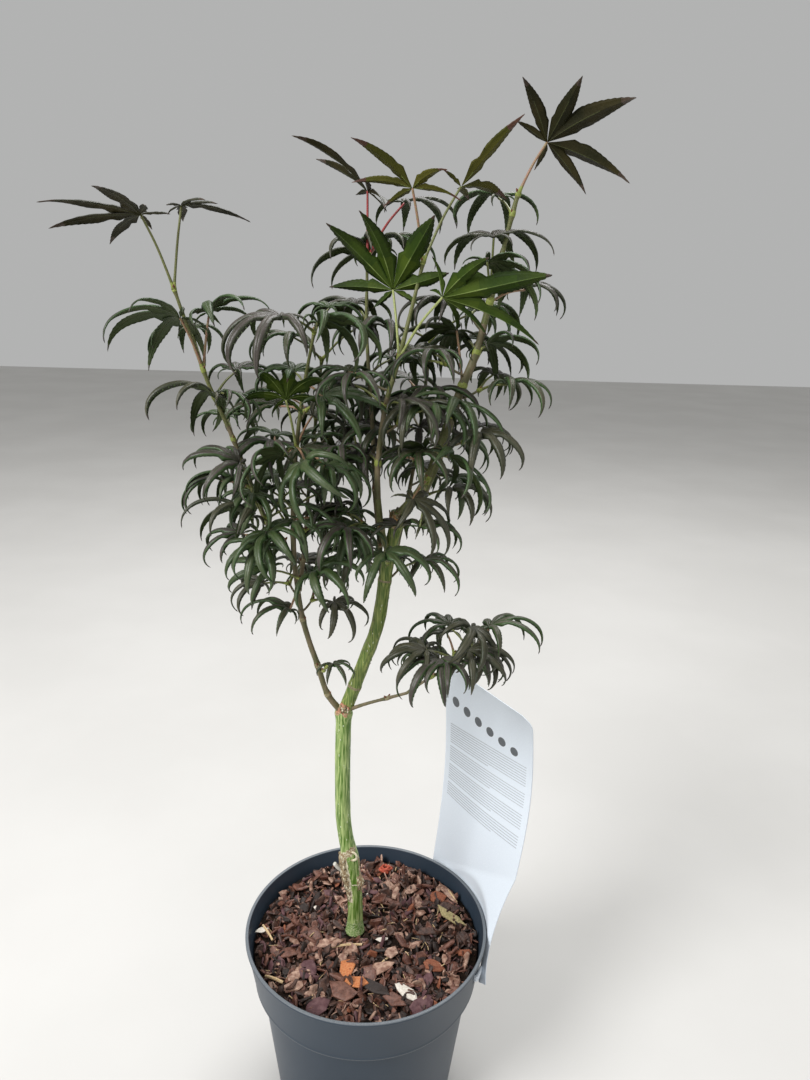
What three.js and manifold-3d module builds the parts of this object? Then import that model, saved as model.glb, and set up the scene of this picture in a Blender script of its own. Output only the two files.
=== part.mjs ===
// Grafted Japanese maple in a three litre nursery pot, as a tree of separate solids in millimetres, +Z up.
// The origin is the middle of the pot's flat underside, and -Y is the side that the plant shows to a viewer.
// Green grafted trunk, forked leader and thin side stems carry shoots with opposite pairs of seven-lobed
// leaves: old leaves arch and claw downwards, the young ones at the top are flat.

import * as THREE from 'three';
import { mergeVertices } from 'three/addons/utils/BufferGeometryUtils.js';
import Module from 'manifold-3d';

const wasm = await Module();
wasm.setup();

const CLEARANCE = 0.3;

// Pot
const POT_HEIGHT = 150;
const RIM_RADIUS = 95;
const COLLAR_FOOT_RADIUS = 88;
const COLLAR_FOOT_HEIGHT = 110;
const BODY_TOP_RADIUS = 84.5;
const BODY_FOOT_RADIUS = 70.5;
const WALL = 1.8;
const LIP = 2.4;
const FLOOR = 2.4;
const POT_SIDES = 40;
const DRAIN_HOLES = 8;
const DRAIN_RADIUS = 5;
const DRAIN_CIRCLE = 55;

// Mulch: its level at the trunk, the depth of its hollows, and how far it climbs from the trunk to the rear
const MULCH_HEIGHT = 136;
const MULCH_DIP = 3;
const MULCH_CLIMB = 3;
const MULCH_RINGS = 6;
const LEVEL_ROUND_TRUNK = 20;

// Trunk: foot on the mulch, graft swelling, fork
const TRUNK_FOOT = [-9.7, 6.8, MULCH_HEIGHT + CLEARANCE];
const TRUNK_PATH = [TRUNK_FOOT, [-10, 6, 168], [-13.5, 5, 204], [-19, 5, 240], [-20, 5, 285], [-19.2, 5, 336]];
const TRUNK_RADIUS = 5.7;
const ROOT_FLARE = 2.2;
const GRAFT_HEIGHT = 205;
const GRAFT_SWELLING = 2.1;
const GRAFT_REACH = 13;
const FORK_SWELLING = 1.4;

// Each limb is one tapering piece: the points that it runs through, and its radius at both ends.
const LIMBS = [
  { name: 'main_leader', path: [[-18.5, 5, 337.5], [-6, 3, 372], [5, 0, 408], [11, -2, 453], [18, -4, 489]],
    radii: [5.3, 4.2] },
  { name: 'left_stem', path: [[-20, 5, 334], [-31, 4, 349], [-38, 2, 373], [-48, 0, 409], [-53, -3, 452]],
    radii: [2.1, 1.8] },
  { name: 'low_twig', path: [[-17, 4, 336], [-2.6, -2, 345], [12.5, -4, 351], [26.5, -6, 356.5]],
    radii: [1.5, 1.2] },
  { name: 'right_bough', path: [[18, -4, 489.5], [34, -4, 507], [42, -4, 527], [49, -1, 548.5]], radii: [3.8, 3.3] },
  { name: 'left_bough', path: [[-53, -3, 451], [-60, -6, 468], [-66, -7, 476.5]], radii: [1.9, 1.8] },
  { name: 'centre_left_bough', path: [[-53, -3, 452], [-53.5, -2, 472], [-53, -2, 492]], radii: [1.9, 1.8] },
  { name: 'centre_bough', path: [[12, -3, 458], [6.5, -11, 480], [4, -16, 502]], radii: [2.5, 2.4] },
  { name: 'inner_bough', path: [[8, 1, 428], [5, 8, 462], [1, 9, 502], [-1, 9, 543]], radii: [2.1, 1.7] },
  { name: 'back_left_bough', path: [[-50, 0, 430], [-49, 12, 448], [-48, 22, 468]], radii: [1.6, 1.3] },
  { name: 'back_right_bough', path: [[11, 0, 448], [17, 14, 462], [22, 24, 482]], radii: [1.8, 1.5] },
];

// Leaf kinds: how far a lobe is lifted where it starts and bent down by its tip, in degrees; its half width,
// its ridge and the bay between two lobes as parts of its length; and where along it it is widest and narrows.
const KINDS = {
  claw: { lift: 38, curl: 92, half: 0.068, ridge: 0.05, bay: 0.18, widest: 0.4, narrowing: 0.74 },
  arch: { lift: 30, curl: 55, half: 0.07, ridge: 0.05, bay: 0.18, widest: 0.42, narrowing: 0.74 },
  fresh: { lift: 20, curl: 55, half: 0.095, ridge: 0.04, bay: 0.26, widest: 0.48, narrowing: 0.76 },
  young: { lift: 8, curl: 22, half: 0.11, ridge: 0.03, bay: 0.27, widest: 0.52, narrowing: 0.78 },
  cup: { lift: 28, curl: -5, half: 0.11, ridge: 0.03, bay: 0.27, widest: 0.52, narrowing: 0.78 },
};
const LOBE_TURNS = [-128, -80, -39, 0, 39, 80, 128];
const LOBE_LENGTHS = [0.34, 0.74, 0.95, 1, 0.95, 0.74, 0.34];
const NARROW_PART = 0.68;
const NOTCH = 0.05;
const BLADE_CORE = 0.6;
const STALK_RADII = [0.85, 0.7];
const STALK_ARCH = 0.06;

// Each mass of foliage is one shoot. Its stem runs through its nodes, from the foot that meets the bough.
// A leaf is [node, turn, rise, stalk, lobe, kind, face, aim, roll]: the stalk leaves the node towards turn
// (0 is +X, 90 is +Y) and upwards by rise; lobe is the middle lobe's length, face the way it points if not
// turn, aim how far it points up, and roll turns the blade about it. Rear leaves follow the shoot's rule.
const SHOOTS = [
  { name: 'left_crown',
    stem: [[-66, -7, 476.5], [-71, -8, 483], [-90, -10, 537], [-101, -11, 564], [-107, -12, 581], [-122, -14, 629]],
    radii: [1.8, 1.2],
    leaves: [
      [1, 245, 58, 50, 50, 'claw', 205, 15, -25],
      [1, 204, 60, 30, 51, 'claw', 166, 5, 15],
      [1, 262, 18, 30, 58, 'claw', 190, 20, 20],
      [1, 285, 1, 33, 50, 'claw', 255, -20, 20],
      [1, 338, 27, 29, 46, 'arch', 18, -30, -5],
      [3, 282, 7, 24, 64, 'claw', 165, 5, 20],
      [3, 300, 13, 22, 37, 'claw', 16, -20, -5],
      [4, 217, 67, 34, 61, 'arch', 167, -8, 28],
      [4, 74, 73, 36, 46, 'fresh', 323, 30, 5],
      [5, 187, 68, 45, 58, 'young', 220, 6, 15],
      [5, 58, 79, 49, 58, 'young', 21, 10, -5],
    ],
    rear: { nodes: [1, 2, 3, 4], first: 70, rise: 30, stalk: 28, lobe: 50 } },
  { name: 'centre_left_crown', stem: [[-53, -2, 492], [-50, -6, 532], [-44, -8, 573], [-37, -12, 606]],
    radii: [1.8, 1.2],
    leaves: [
      [1, 259, 61, 38, 49, 'fresh', 284, 50, -5],
      [1, 261, 0, 28, 53, 'claw', 208, -20, 45],
      [1, 286, -3, 38, 60, 'claw', 260, -35, 40],
      [1, 308, -9, 36, 54, 'claw', 7, -20, 5],
      [2, 302, -10, 26, 55, 'arch', 357, -10, 20],
      [3, 247, 13, 38, 64, 'claw', 220, -15, -5],
      [3, 281, 14, 25, 64, 'claw', 7, -10, -20],
    ],
    rear: { nodes: [1, 2, 3], first: 80, rise: 25, stalk: 30, lobe: 52 } },
  { name: 'centre_crown', stem: [[4, -16, 502], [4, -20, 526], [8, -22, 562], [16, -22, 592], [29, -20, 648]],
    radii: [2.4, 1.3],
    leaves: [
      [1, 114, 8, 18, 50, 'claw', 179, -20, -20],
      [2, 292, 14, 25, 52, 'claw', 357, -12, 0],
      [2, 136, 20, 34, 45, 'claw', 154, -10, -25],
      [3, 121, 77, 41, 56, 'young', 240, 60, 10],
      [3, 318, 48, 49, 61, 'cup', 338, -34, -40],
      [3, 66, 3, 24, 48, 'claw', 70, 5, 0],
      [4, 208, 78, 41, 46, 'young', 260, 38, -13],
      [4, 16, 63, 48, 51, 'cup', 3, 8, -30],
    ],
    rear: { nodes: [], first: 0, rise: 0, stalk: 0, lobe: 0 } },
  { name: 'inner_crown', stem: [[-1, 9, 543], [-4, 11, 578], [-6, 12, 612], [-6, 14, 651]],
    radii: [1.7, 1.1],
    leaves: [
      [3, 83, 17, 15, 59, 'arch', 233, 9, 23],
      [3, 94, 62, 47, 55, 'young', 240, 30, -28],
      [3, 49, 46, 49, 54, 'arch', 50],
    ],
    rear: { nodes: [1, 2, 3], first: 60, rise: 30, stalk: 30, lobe: 52 } },
  { name: 'right_crown',
    stem: [[49, -1, 548.5], [51, 0, 555], [57, 1, 574], [65, 2, 595], [72, 4, 626], [83, 4, 678], [86, 4, 690]],
    radii: [3.2, 1.5],
    leaves: [
      [1, 278, 36, 17, 51, 'arch', 289, -12, -20],
      [2, 125, 76, 35, 56, 'arch', 147, -13, 24],
      [3, 340, 35, 7, 53, 'claw', 30, -8, -28],
      [4, 270, 84, 38, 63, 'arch', 77, 3, -5],
      [4, 258, 46, 32, 57, 'arch', 23, -26, -10],
      [6, 352, 62, 32, 56, 'young', 325, 16, -50],
    ],
    rear: { nodes: [2, 3, 4, 5], first: 50, rise: 25, stalk: 30, lobe: 52 } },
  { name: 'right_skirt', stem: [[34, -4, 507], [37, -12, 515], [42, -16, 530]],
    radii: [1.2, 1.0],
    leaves: [
      [2, 296, 11, 14, 55, 'arch', 330, -30, -35],
      [2, 225, 30, 13, 40, 'arch', 190, -5, 30],
      [1, 244, -20, 26, 51, 'arch', 346, -35, 5],
      [1, 254, -57, 34, 46, 'claw', 30, 0, 0],
      [1, 214, -54, 37, 44, 'claw', 123, -8, -5],
    ],
    rear: { nodes: [], first: 0, rise: 0, stalk: 0, lobe: 0 } },
  { name: 'low_spray', stem: [[26.5, -6, 356.5], [44, -10, 372], [72, -12, 390]],
    radii: [1.1, 0.9],
    leaves: [
      [1, 162, 72, 21, 43, 'claw', 134, 0, 5],
      [1, 280, 47, 33, 54, 'claw', 235, -10, 0],
      [2, 253, 62, 31, 51, 'claw', 291, -25, -30],
      [2, 348, 65, 24, 57, 'claw', 10, 8, -12],
      [2, 68, -9, 17, 45, 'claw', 306, -14, -10],
    ],
    rear: { nodes: [1, 2], first: 85, rise: 30, stalk: 24, lobe: 44 } },
  { name: 'left_skirt', stem: [[-51, -2, 431], [-50, -10, 433], [-46, -18, 445]],
    radii: [1.2, 1.0],
    leaves: [
      [2, 197, 22, 23, 47, 'claw', 161, 5, -30],
      [2, 299, 28, 26, 52, 'claw', 315, 12, 20],
      [1, 231, -57, 14, 49, 'claw', 182, 14, 10],
    ],
    rear: { nodes: [], first: 0, rise: 0, stalk: 0, lobe: 0 } },
  { name: 'centre_skirt', stem: [[11, -3, 452], [11, -12, 457], [13, -20, 464]],
    radii: [1.2, 1.0],
    leaves: [
      [2, 256, 25, 14, 52, 'fresh', 300, -10, 10],
    ],
    rear: { nodes: [], first: 0, rise: 0, stalk: 0, lobe: 0 } },
  { name: 'fork_spray', stem: [[-36, 3, 367], [-33, -3, 371], [-31, -7, 376]],
    radii: [0.9, 0.8],
    leaves: [
      [2, 310, 33, 10, 26, 'claw', 300],
    ],
    rear: { nodes: [], first: 0, rise: 0, stalk: 0, lobe: 0 } },
  { name: 'back_left_crown', stem: [[-48, 22, 468], [-46, 32, 505], [-42, 38, 545], [-38, 40, 585]],
    radii: [1.3, 1.0],
    leaves: [],
    rear: { nodes: [1, 2, 3], first: 40, rise: 30, stalk: 34, lobe: 54, pairs: true } },
  { name: 'back_right_crown', stem: [[22, 24, 482], [28, 34, 518], [33, 40, 558], [36, 42, 600]],
    radii: [1.5, 1.0],
    leaves: [],
    rear: { nodes: [1, 2, 3], first: 20, rise: 30, stalk: 34, lobe: 54, pairs: true } },
];
const REAR_STEP = 45;
const PAIR_STEP = 90;
const REAR_SCATTER = 14;

// Care card, hooked on the pot's collar: its corners, and the tail that tapers down past the collar
const CARD = {
  topLeft: [59.2, 95, 333.7], topRight: [123.3, 20, 320.9],
  footLeft: [55.9, 89.5, 140.8], footRight: [116.9, 5.5, 190],
  tail: [98.2, 9.5, 84], thickness: 0.8, bow: 7, columns: 4, rows: 7, tailRows: 3, tailWidth: 0.07,
};

const radians = THREE.MathUtils.degToRad;
const vector = (xyz) => new THREE.Vector3(...xyz);

// Small repeatable random numbers
function seeded(seed) {
  let state = seed;
  return () => {
    state = (state * 16807) % 2147483647;
    return state / 2147483647;
  };
}

function direction(turn, rise) {
  const flat = Math.cos(radians(rise));
  return new THREE.Vector3(flat * Math.cos(radians(turn)), flat * Math.sin(radians(turn)), Math.sin(radians(rise)));
}

// A closed three.js geometry as a solid, and a solid as a geometry
function solid(geometry) {
  const bare = geometry.clone();
  bare.deleteAttribute('normal');
  bare.deleteAttribute('uv');
  const merged = mergeVertices(bare, 1e-4);
  const mesh = new wasm.Mesh({
    numProp: 3,
    vertProperties: Float32Array.from(merged.attributes.position.array),
    triVerts: Uint32Array.from(merged.index.array),
  });
  return new wasm.Manifold(mesh);
}

function geometryOf(manifold) {
  const mesh = manifold.getMesh();
  const geometry = new THREE.BufferGeometry();
  geometry.setAttribute('position', new THREE.Float32BufferAttribute(mesh.vertProperties, 3));
  geometry.setIndex(Array.from(mesh.triVerts));
  return geometry;
}

// A piece trimmed clear of others, without the slivers that the trimming leaves beside it
function trimmed(piece, others) {
  const rest = others.reduce((left, other) => left.subtract(other), piece);
  return rest.decompose().reduce((best, part) => (part.volume() > best.volume() ? part : best));
}

// A cylinder bent along a smooth path, with its radius given along the way
function tube(path, radiusAt, sides, steps) {
  const curve = new THREE.CatmullRomCurve3(path.map(vector), false, 'catmullrom', 0.5);
  const geometry = new THREE.CylinderGeometry(1, 1, 1, sides, steps);
  const position = geometry.attributes.position;
  const start = curve.getTangent(0);
  const side = new THREE.Vector3(0, 1, 0).cross(start).normalize();
  for (let i = 0; i < position.count; i += 1) {
    const along = position.getY(i) + 0.5;
    const centre = curve.getPoint(along);
    const forward = curve.getTangent(along);
    const across = side.clone().addScaledVector(forward, -side.dot(forward)).normalize();
    const over = forward.clone().cross(across);
    const radius = radiusAt(along, centre);
    centre.addScaledVector(across, radius * position.getX(i)).addScaledVector(over, -radius * position.getZ(i));
    position.setXYZ(i, centre.x, centre.y, centre.z);
  }
  return geometry;
}

const taper = (radii, extra = 0) => (along) => THREE.MathUtils.lerp(radii[0], radii[1], along) + extra;

// The pot: a turned shell with a deep collar, and drain holes in its floor
function potSolid() {
  const inner = (radius) => radius - WALL;
  const profile = [
    [0, 0], [BODY_FOOT_RADIUS - 1.5, 0], [BODY_FOOT_RADIUS, 1.5],
    [BODY_TOP_RADIUS, COLLAR_FOOT_HEIGHT - 1], [COLLAR_FOOT_RADIUS, COLLAR_FOOT_HEIGHT],
    [RIM_RADIUS - 1, POT_HEIGHT - 3], [RIM_RADIUS, POT_HEIGHT - 2.2], [RIM_RADIUS, POT_HEIGHT - 0.6],
    [RIM_RADIUS - 0.6, POT_HEIGHT], [RIM_RADIUS - LIP, POT_HEIGHT], [inner(RIM_RADIUS - 1), POT_HEIGHT - 3],
    [inner(COLLAR_FOOT_RADIUS), COLLAR_FOOT_HEIGHT + 1], [inner(BODY_TOP_RADIUS), COLLAR_FOOT_HEIGHT - 2],
    [inner(BODY_FOOT_RADIUS), FLOOR], [0, FLOOR],
  ];
  const lathe = new THREE.LatheGeometry(profile.map(([r, z]) => new THREE.Vector2(r, z)), POT_SIDES);
  let pot = solid(lathe.rotateX(Math.PI / 2));
  for (let i = 0; i < DRAIN_HOLES; i += 1) {
    const turn = (i + 0.5) * (2 * Math.PI / DRAIN_HOLES);
    const drill = new THREE.CylinderGeometry(DRAIN_RADIUS, DRAIN_RADIUS, 4 * FLOOR, 8).rotateX(Math.PI / 2);
    drill.translate(DRAIN_CIRCLE * Math.cos(turn), DRAIN_CIRCLE * Math.sin(turn), 0);
    pot = pot.subtract(solid(drill));
  }
  return pot;
}

// The potting mix, to just clear of the pot, with an uneven top that is level round the trunk
function mulchSolid() {
  const gap = CLEARANCE + 0.1;
  const foot = BODY_FOOT_RADIUS - WALL - gap;
  const shoulder = BODY_TOP_RADIUS - WALL - gap;
  const collar = COLLAR_FOOT_RADIUS - WALL - gap;
  const edgeHeight = MULCH_HEIGHT - MULCH_DIP - MULCH_CLIMB;
  const rise = (edgeHeight - COLLAR_FOOT_HEIGHT) / (POT_HEIGHT - 3 - COLLAR_FOOT_HEIGHT);
  const edge = THREE.MathUtils.lerp(collar, RIM_RADIUS - 1 - WALL - gap, rise) - 0.5;
  const profile = [
    [0, FLOOR + CLEARANCE], [foot, FLOOR + CLEARANCE], [shoulder, COLLAR_FOOT_HEIGHT - 2],
    [collar, COLLAR_FOOT_HEIGHT + 2], [edge, edgeHeight],
  ];
  for (let ring = MULCH_RINGS; ring >= 0; ring -= 1) {
    profile.push([edge * 0.985 * (ring / MULCH_RINGS), MULCH_HEIGHT]);
  }
  const lathe = new THREE.LatheGeometry(profile.map(([r, z]) => new THREE.Vector2(r, z)), POT_SIDES);
  const geometry = lathe.rotateX(Math.PI / 2);
  const position = geometry.attributes.position;
  for (let i = 0; i < position.count; i += 1) {
    if (Math.abs(position.getZ(i) - MULCH_HEIGHT) > 0.01) continue;
    const x = position.getX(i);
    const y = position.getY(i);
    const away = Math.hypot(x - TRUNK_FOOT[0], y - TRUNK_FOOT[1]) - LEVEL_ROUND_TRUNK;
    const fade = THREE.MathUtils.clamp(away / LEVEL_ROUND_TRUNK, 0, 1);
    const wave = 0.5 + 0.25 * (Math.sin(0.31 * x + 1.7) * Math.cos(0.27 * y) + Math.sin(0.19 * (x + y)));
    position.setZ(i, MULCH_HEIGHT + fade * (MULCH_CLIMB * y / edge - MULCH_DIP * wave));
  }
  return solid(geometry);
}

// The trunk, swollen at its foot, its graft and its fork, with two pruned stubs
function trunkSolid(extra = 0) {
  const radiusAt = (along, centre) => {
    const flare = ROOT_FLARE * Math.exp(-(centre.z - MULCH_HEIGHT) / 7);
    const graft = GRAFT_SWELLING * Math.exp(-(((centre.z - GRAFT_HEIGHT) / GRAFT_REACH) ** 2));
    const fork = FORK_SWELLING * Math.exp(-(((centre.z - TRUNK_PATH.at(-1)[2]) / 6) ** 2));
    return TRUNK_RADIUS + flare + graft + fork + extra;
  };
  const path = TRUNK_PATH.map((point) => [...point]);
  if (extra > 0) path.at(-1)[2] += extra;
  const stem = solid(tube(path, radiusAt, 10, 18));
  const stub = solid(tube([[-17, 2, 201], [-22.5, -1, 206], [-24, -1.5, 208]], taper([2.2, 1.8], extra), 8, 2));
  return stem.add(stub);
}

function limbSolid(limb, extra = 0) {
  const sides = limb.radii[0] > 2.5 ? 10 : 8;
  return solid(tube(limb.path, taper(limb.radii, extra), sides, 3 * (limb.path.length - 1)));
}

// One leaf blade as a single closed body: seven lobes round the end of the stalk, each with a ridge
function bladeSolid(centre, kind, lobe, face, aim, roll) {
  const { lift, curl, half, ridge, bay, widest, narrowing } = KINDS[kind];
  const ahead = direction(face, aim);
  const level = new THREE.Vector3(0, 0, 1).cross(ahead).normalize();
  const left = level.applyAxisAngle(ahead, radians(roll));
  const up = ahead.clone().cross(left);
  const points = [];
  const faces = [];
  const put = (point) => {
    points.push(point.x, point.y, point.z);
    return points.length / 3 - 1;
  };
  const outward = (turn) => ahead.clone().multiplyScalar(Math.cos(radians(turn)))
    .addScaledVector(left, Math.sin(radians(turn)));
  // The point and the local upward way, a part of the way along a lobe
  const along = (turn, length, part) => {
    const out = outward(turn);
    const point = centre.clone();
    const slices = 6;
    let slope = 0;
    for (let i = 0; i < slices; i += 1) {
      slope = radians(lift - (lift + curl) * part * (i + 0.5) / slices);
      const step = length * part / slices;
      point.addScaledVector(out, step * Math.cos(slope)).addScaledVector(up, step * Math.sin(slope));
    }
    const end = radians(lift - (lift + curl) * part);
    const rise = up.clone().multiplyScalar(Math.cos(end)).addScaledVector(out, -Math.sin(end));
    return { point, rise, side: up.clone().cross(out) };
  };
  const station = (turn, length, part, width, height) => {
    const { point, rise, side } = along(turn, length, part);
    return [
      put(point.clone().addScaledVector(side, -width)),
      put(point.clone().addScaledVector(side, width)),
      put(point.clone().addScaledVector(rise, height)),
    ];
  };
  const core = BLADE_CORE + ridge * lobe * 0.2;
  const top = put(centre.clone().addScaledVector(up, core));
  const bottom = put(centre.clone().addScaledVector(up, -core));
  const notch = put(centre.clone().addScaledVector(ahead, -NOTCH * lobe));
  const gaps = [notch];
  for (let i = 1; i < LOBE_TURNS.length; i += 1) {
    const turn = (LOBE_TURNS[i - 1] + LOBE_TURNS[i]) / 2;
    gaps.push(put(along(turn, lobe, bay * Math.min(LOBE_LENGTHS[i - 1], LOBE_LENGTHS[i])).point));
  }
  gaps.push(notch);
  LOBE_TURNS.forEach((turn, i) => {
    const length = lobe * LOBE_LENGTHS[i];
    const [before, after] = [gaps[i], gaps[i + 1]];
    const tip = put(along(turn, length, 1).point);
    if (LOBE_LENGTHS[i] < 0.5) {
      faces.push([top, before, tip], [top, tip, after], [bottom, tip, before], [bottom, after, tip]);
      return;
    }
    const [width, height] = [half * length, ridge * length];
    const [right1, left1, ridge1] = station(turn, length, widest, width, height);
    const [right2, left2, ridge2] = station(turn, length, narrowing, width * NARROW_PART, height * NARROW_PART);
    faces.push(
      [top, before, right1], [top, right1, ridge1], [top, ridge1, left1], [top, left1, after],
      [right1, right2, ridge2], [right1, ridge2, ridge1], [ridge1, ridge2, left2], [ridge1, left2, left1],
      [right2, tip, ridge2], [ridge2, tip, left2],
      [bottom, right1, before], [bottom, left1, right1], [bottom, after, left1],
      [right1, left1, left2], [right1, left2, right2], [right2, left2, tip],
    );
  });
  const geometry = new THREE.BufferGeometry();
  geometry.setAttribute('position', new THREE.Float32BufferAttribute(points, 3));
  geometry.setIndex(faces.flat());
  return solid(geometry);
}

// A leaf on its stalk, rooted in the stem at one of the shoot's nodes
function leafSolid(node, turn, rise, stalk, lobe, kind, face, aim = 0, roll = 0) {
  const out = direction(turn, rise);
  const centre = node.clone().addScaledVector(out, stalk);
  const middle = node.clone().addScaledVector(out, stalk / 2);
  middle.z += STALK_ARCH * stalk;
  const path = [node, middle, centre].map((point) => point.toArray());
  const stem = solid(tube(path, taper(STALK_RADII), 3, 2));
  return stem.add(bladeSolid(centre, kind, lobe, face, aim, roll));
}

// The rear leaves of a shoot: one or an opposite pair at each node, turning from node to node
function rearLeaves(shoot, random) {
  const { nodes, first, rise, stalk, lobe, pairs } = shoot.rear;
  const leaves = [];
  nodes.forEach((node, i) => {
    const turn = pairs ? first + PAIR_STEP * i : first + REAR_STEP * (i % 2);
    const turns = pairs ? [turn, turn + 180] : [turn];
    turns.forEach((way) => {
      const scatter = () => REAR_SCATTER * (2 * random() - 1);
      leaves.push([node, way + scatter(), rise + scatter(), stalk + scatter() / 2, lobe + scatter() / 3, 'claw']);
    });
  });
  return leaves;
}

// A mass of foliage: the stem, trimmed clear of its bough, with every leaf that finds room of its own. Where
// a leaf would touch something, its stalk is swung by each of these turns and rises, and then it is skipped.
const TRIES = [[0, 0], [9, 0], [-9, 0], [0, 10], [0, -10], [18, 6], [-18, 6], [27, -6], [-27, -6], [36, 12], [-36, 12]];
function stemSolid(shoot) {
  return solid(tube(shoot.stem, taper(shoot.radii), 5, 2 * (shoot.stem.length - 1)));
}

function massSolid(shoot, stem, others, random) {
  let mass = stem;
  const isClear = (leaf) => others.every((other) => leaf.minGap(other, 2 * CLEARANCE) > CLEARANCE);
  [...shoot.leaves, ...rearLeaves(shoot, random)].forEach(([at, turn, rise, stalk, lobe, kind, face = turn, ...tilt]) => {
    const node = vector(shoot.stem[at]);
    for (const [turnBy, riseBy] of TRIES) {
      const leaf = leafSolid(node, turn + turnBy, rise + riseBy, stalk, lobe, kind, face, ...tilt);
      if (isClear(leaf)) {
        mass = mass.add(leaf);
        return;
      }
    }
  });
  return mass;
}

// The care card: a bowed sheet whose foot tapers to a tail at the pot's collar
function cardSolid() {
  const { topLeft, topRight, footLeft, footRight, tail, thickness, bow, columns, rows, tailRows, tailWidth } = CARD;
  const corners = [topLeft, topRight, footLeft, footRight].map(vector);
  const footMiddle = corners[2].clone().lerp(corners[3], 0.5);
  const grid = [];
  for (let row = 0; row <= rows + tailRows; row += 1) {
    const down = Math.min(row / rows, 1);
    const beyond = Math.max(row - rows, 0) / tailRows;
    const width = THREE.MathUtils.lerp(1, tailWidth, beyond);
    for (let column = 0; column <= columns; column += 1) {
      const across = 0.5 + width * (column / columns - 0.5);
      const upper = corners[0].clone().lerp(corners[1], across);
      const lower = corners[2].clone().lerp(corners[3], across);
      const point = upper.lerp(lower, down).lerp(vector(tail).add(lower).sub(footMiddle), beyond);
      point.addScaledVector(new THREE.Vector3(0.82, 0.57, 0), bow * Math.sin(Math.PI * down));
      grid.push(point);
    }
  }
  const inward = new THREE.Vector3(-0.82, -0.57, 0).multiplyScalar(thickness);
  const points = [...grid, ...grid.map((point) => point.clone().add(inward))];
  const index = (row, column, layer) => layer * grid.length + row * (columns + 1) + column;
  const faces = [];
  const quad = (a, b, c, d) => faces.push([a, c, b], [a, d, c]);
  const last = rows + tailRows;
  for (let row = 0; row < last; row += 1) {
    for (let column = 0; column < columns; column += 1) {
      quad(index(row, column, 0), index(row + 1, column, 0), index(row + 1, column + 1, 0), index(row, column + 1, 0));
      quad(index(row, column, 1), index(row, column + 1, 1), index(row + 1, column + 1, 1), index(row + 1, column, 1));
    }
    quad(index(row, 0, 0), index(row, 0, 1), index(row + 1, 0, 1), index(row + 1, 0, 0));
    quad(index(row, columns, 1), index(row, columns, 0), index(row + 1, columns, 0), index(row + 1, columns, 1));
  }
  for (let column = 0; column < columns; column += 1) {
    quad(index(0, column, 0), index(0, column + 1, 0), index(0, column + 1, 1), index(0, column, 1));
    quad(index(last, column, 1), index(last, column + 1, 1), index(last, column + 1, 0), index(last, column, 0));
  }
  const geometry = new THREE.BufferGeometry();
  geometry.setAttribute('position', new THREE.Float32BufferAttribute(points.flatMap((point) => point.toArray()), 3));
  geometry.setIndex(faces.flat());
  return solid(geometry);
}

const LOOKS = {
  pot: { color: 0x4a5560, roughness: 0.5 },
  mulch: { color: 0x5a3628, roughness: 0.95 },
  bark: { color: 0x5d8a34, roughness: 0.6 },
  foliage: { color: 0x39492b, roughness: 0.55 },
  card: { color: 0xe4e9ee, roughness: 0.4 },
};

const plant = new THREE.Group();
function addPart(name, manifold, look) {
  const material = new THREE.MeshStandardMaterial({ ...LOOKS[look], metalness: 0 });
  const mesh = new THREE.Mesh(geometryOf(manifold), material);
  mesh.name = name;
  plant.add(mesh);
}

addPart('pot', potSolid(), 'pot');
addPart('mulch', mulchSolid(), 'mulch');
addPart('trunk', trunkSolid(), 'bark');

// Limbs are trimmed clear of what they spring from, and masses keep clear of every limb and of each other.
const grown = [trunkSolid(CLEARANCE)];
LIMBS.forEach((limb) => {
  addPart(limb.name, trimmed(limbSolid(limb), grown), 'bark');
  grown.push(limbSolid(limb, CLEARANCE));
});

const random = seeded(635);
const card = cardSolid();
addPart('care_card', card, 'card');
const masses = SHOOTS.map((shoot) => trimmed(stemSolid(shoot), grown));
SHOOTS.forEach((shoot, i) => {
  const others = [card, ...grown, ...masses.filter((mass, j) => j !== i)];
  masses[i] = massSolid(shoot, masses[i], others, random);
  addPart(shoot.name, masses[i], 'foliage');
});

export default plant;
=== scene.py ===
"""Looks of a grafted Japanese maple in its nursery pot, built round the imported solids.

Sizes are in millimetres and angles in degrees, in the solids' frame: +Z up, the viewer's side at -Y, and the
origin in the middle of the pot's underside. Points become metres when a mesh is made.
"""

import random
from math import atan2, cos, degrees, exp, hypot, pi, radians, sin, sqrt

import bpy
import numpy as np
from mathutils import Matrix, Vector, noise
from numpy.linalg import norm


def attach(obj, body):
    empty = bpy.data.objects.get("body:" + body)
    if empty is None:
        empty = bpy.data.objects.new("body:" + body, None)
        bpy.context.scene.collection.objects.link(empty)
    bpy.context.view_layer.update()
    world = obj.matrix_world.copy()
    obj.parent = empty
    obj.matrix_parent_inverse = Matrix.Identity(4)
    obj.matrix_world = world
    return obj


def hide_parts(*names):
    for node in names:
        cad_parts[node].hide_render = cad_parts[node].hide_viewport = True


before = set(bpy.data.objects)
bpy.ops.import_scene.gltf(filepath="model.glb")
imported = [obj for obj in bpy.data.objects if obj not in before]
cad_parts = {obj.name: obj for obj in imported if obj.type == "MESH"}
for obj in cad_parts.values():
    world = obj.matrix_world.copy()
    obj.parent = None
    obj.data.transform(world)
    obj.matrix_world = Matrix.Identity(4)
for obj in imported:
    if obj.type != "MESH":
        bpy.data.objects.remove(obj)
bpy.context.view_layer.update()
MM = 0.001

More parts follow.
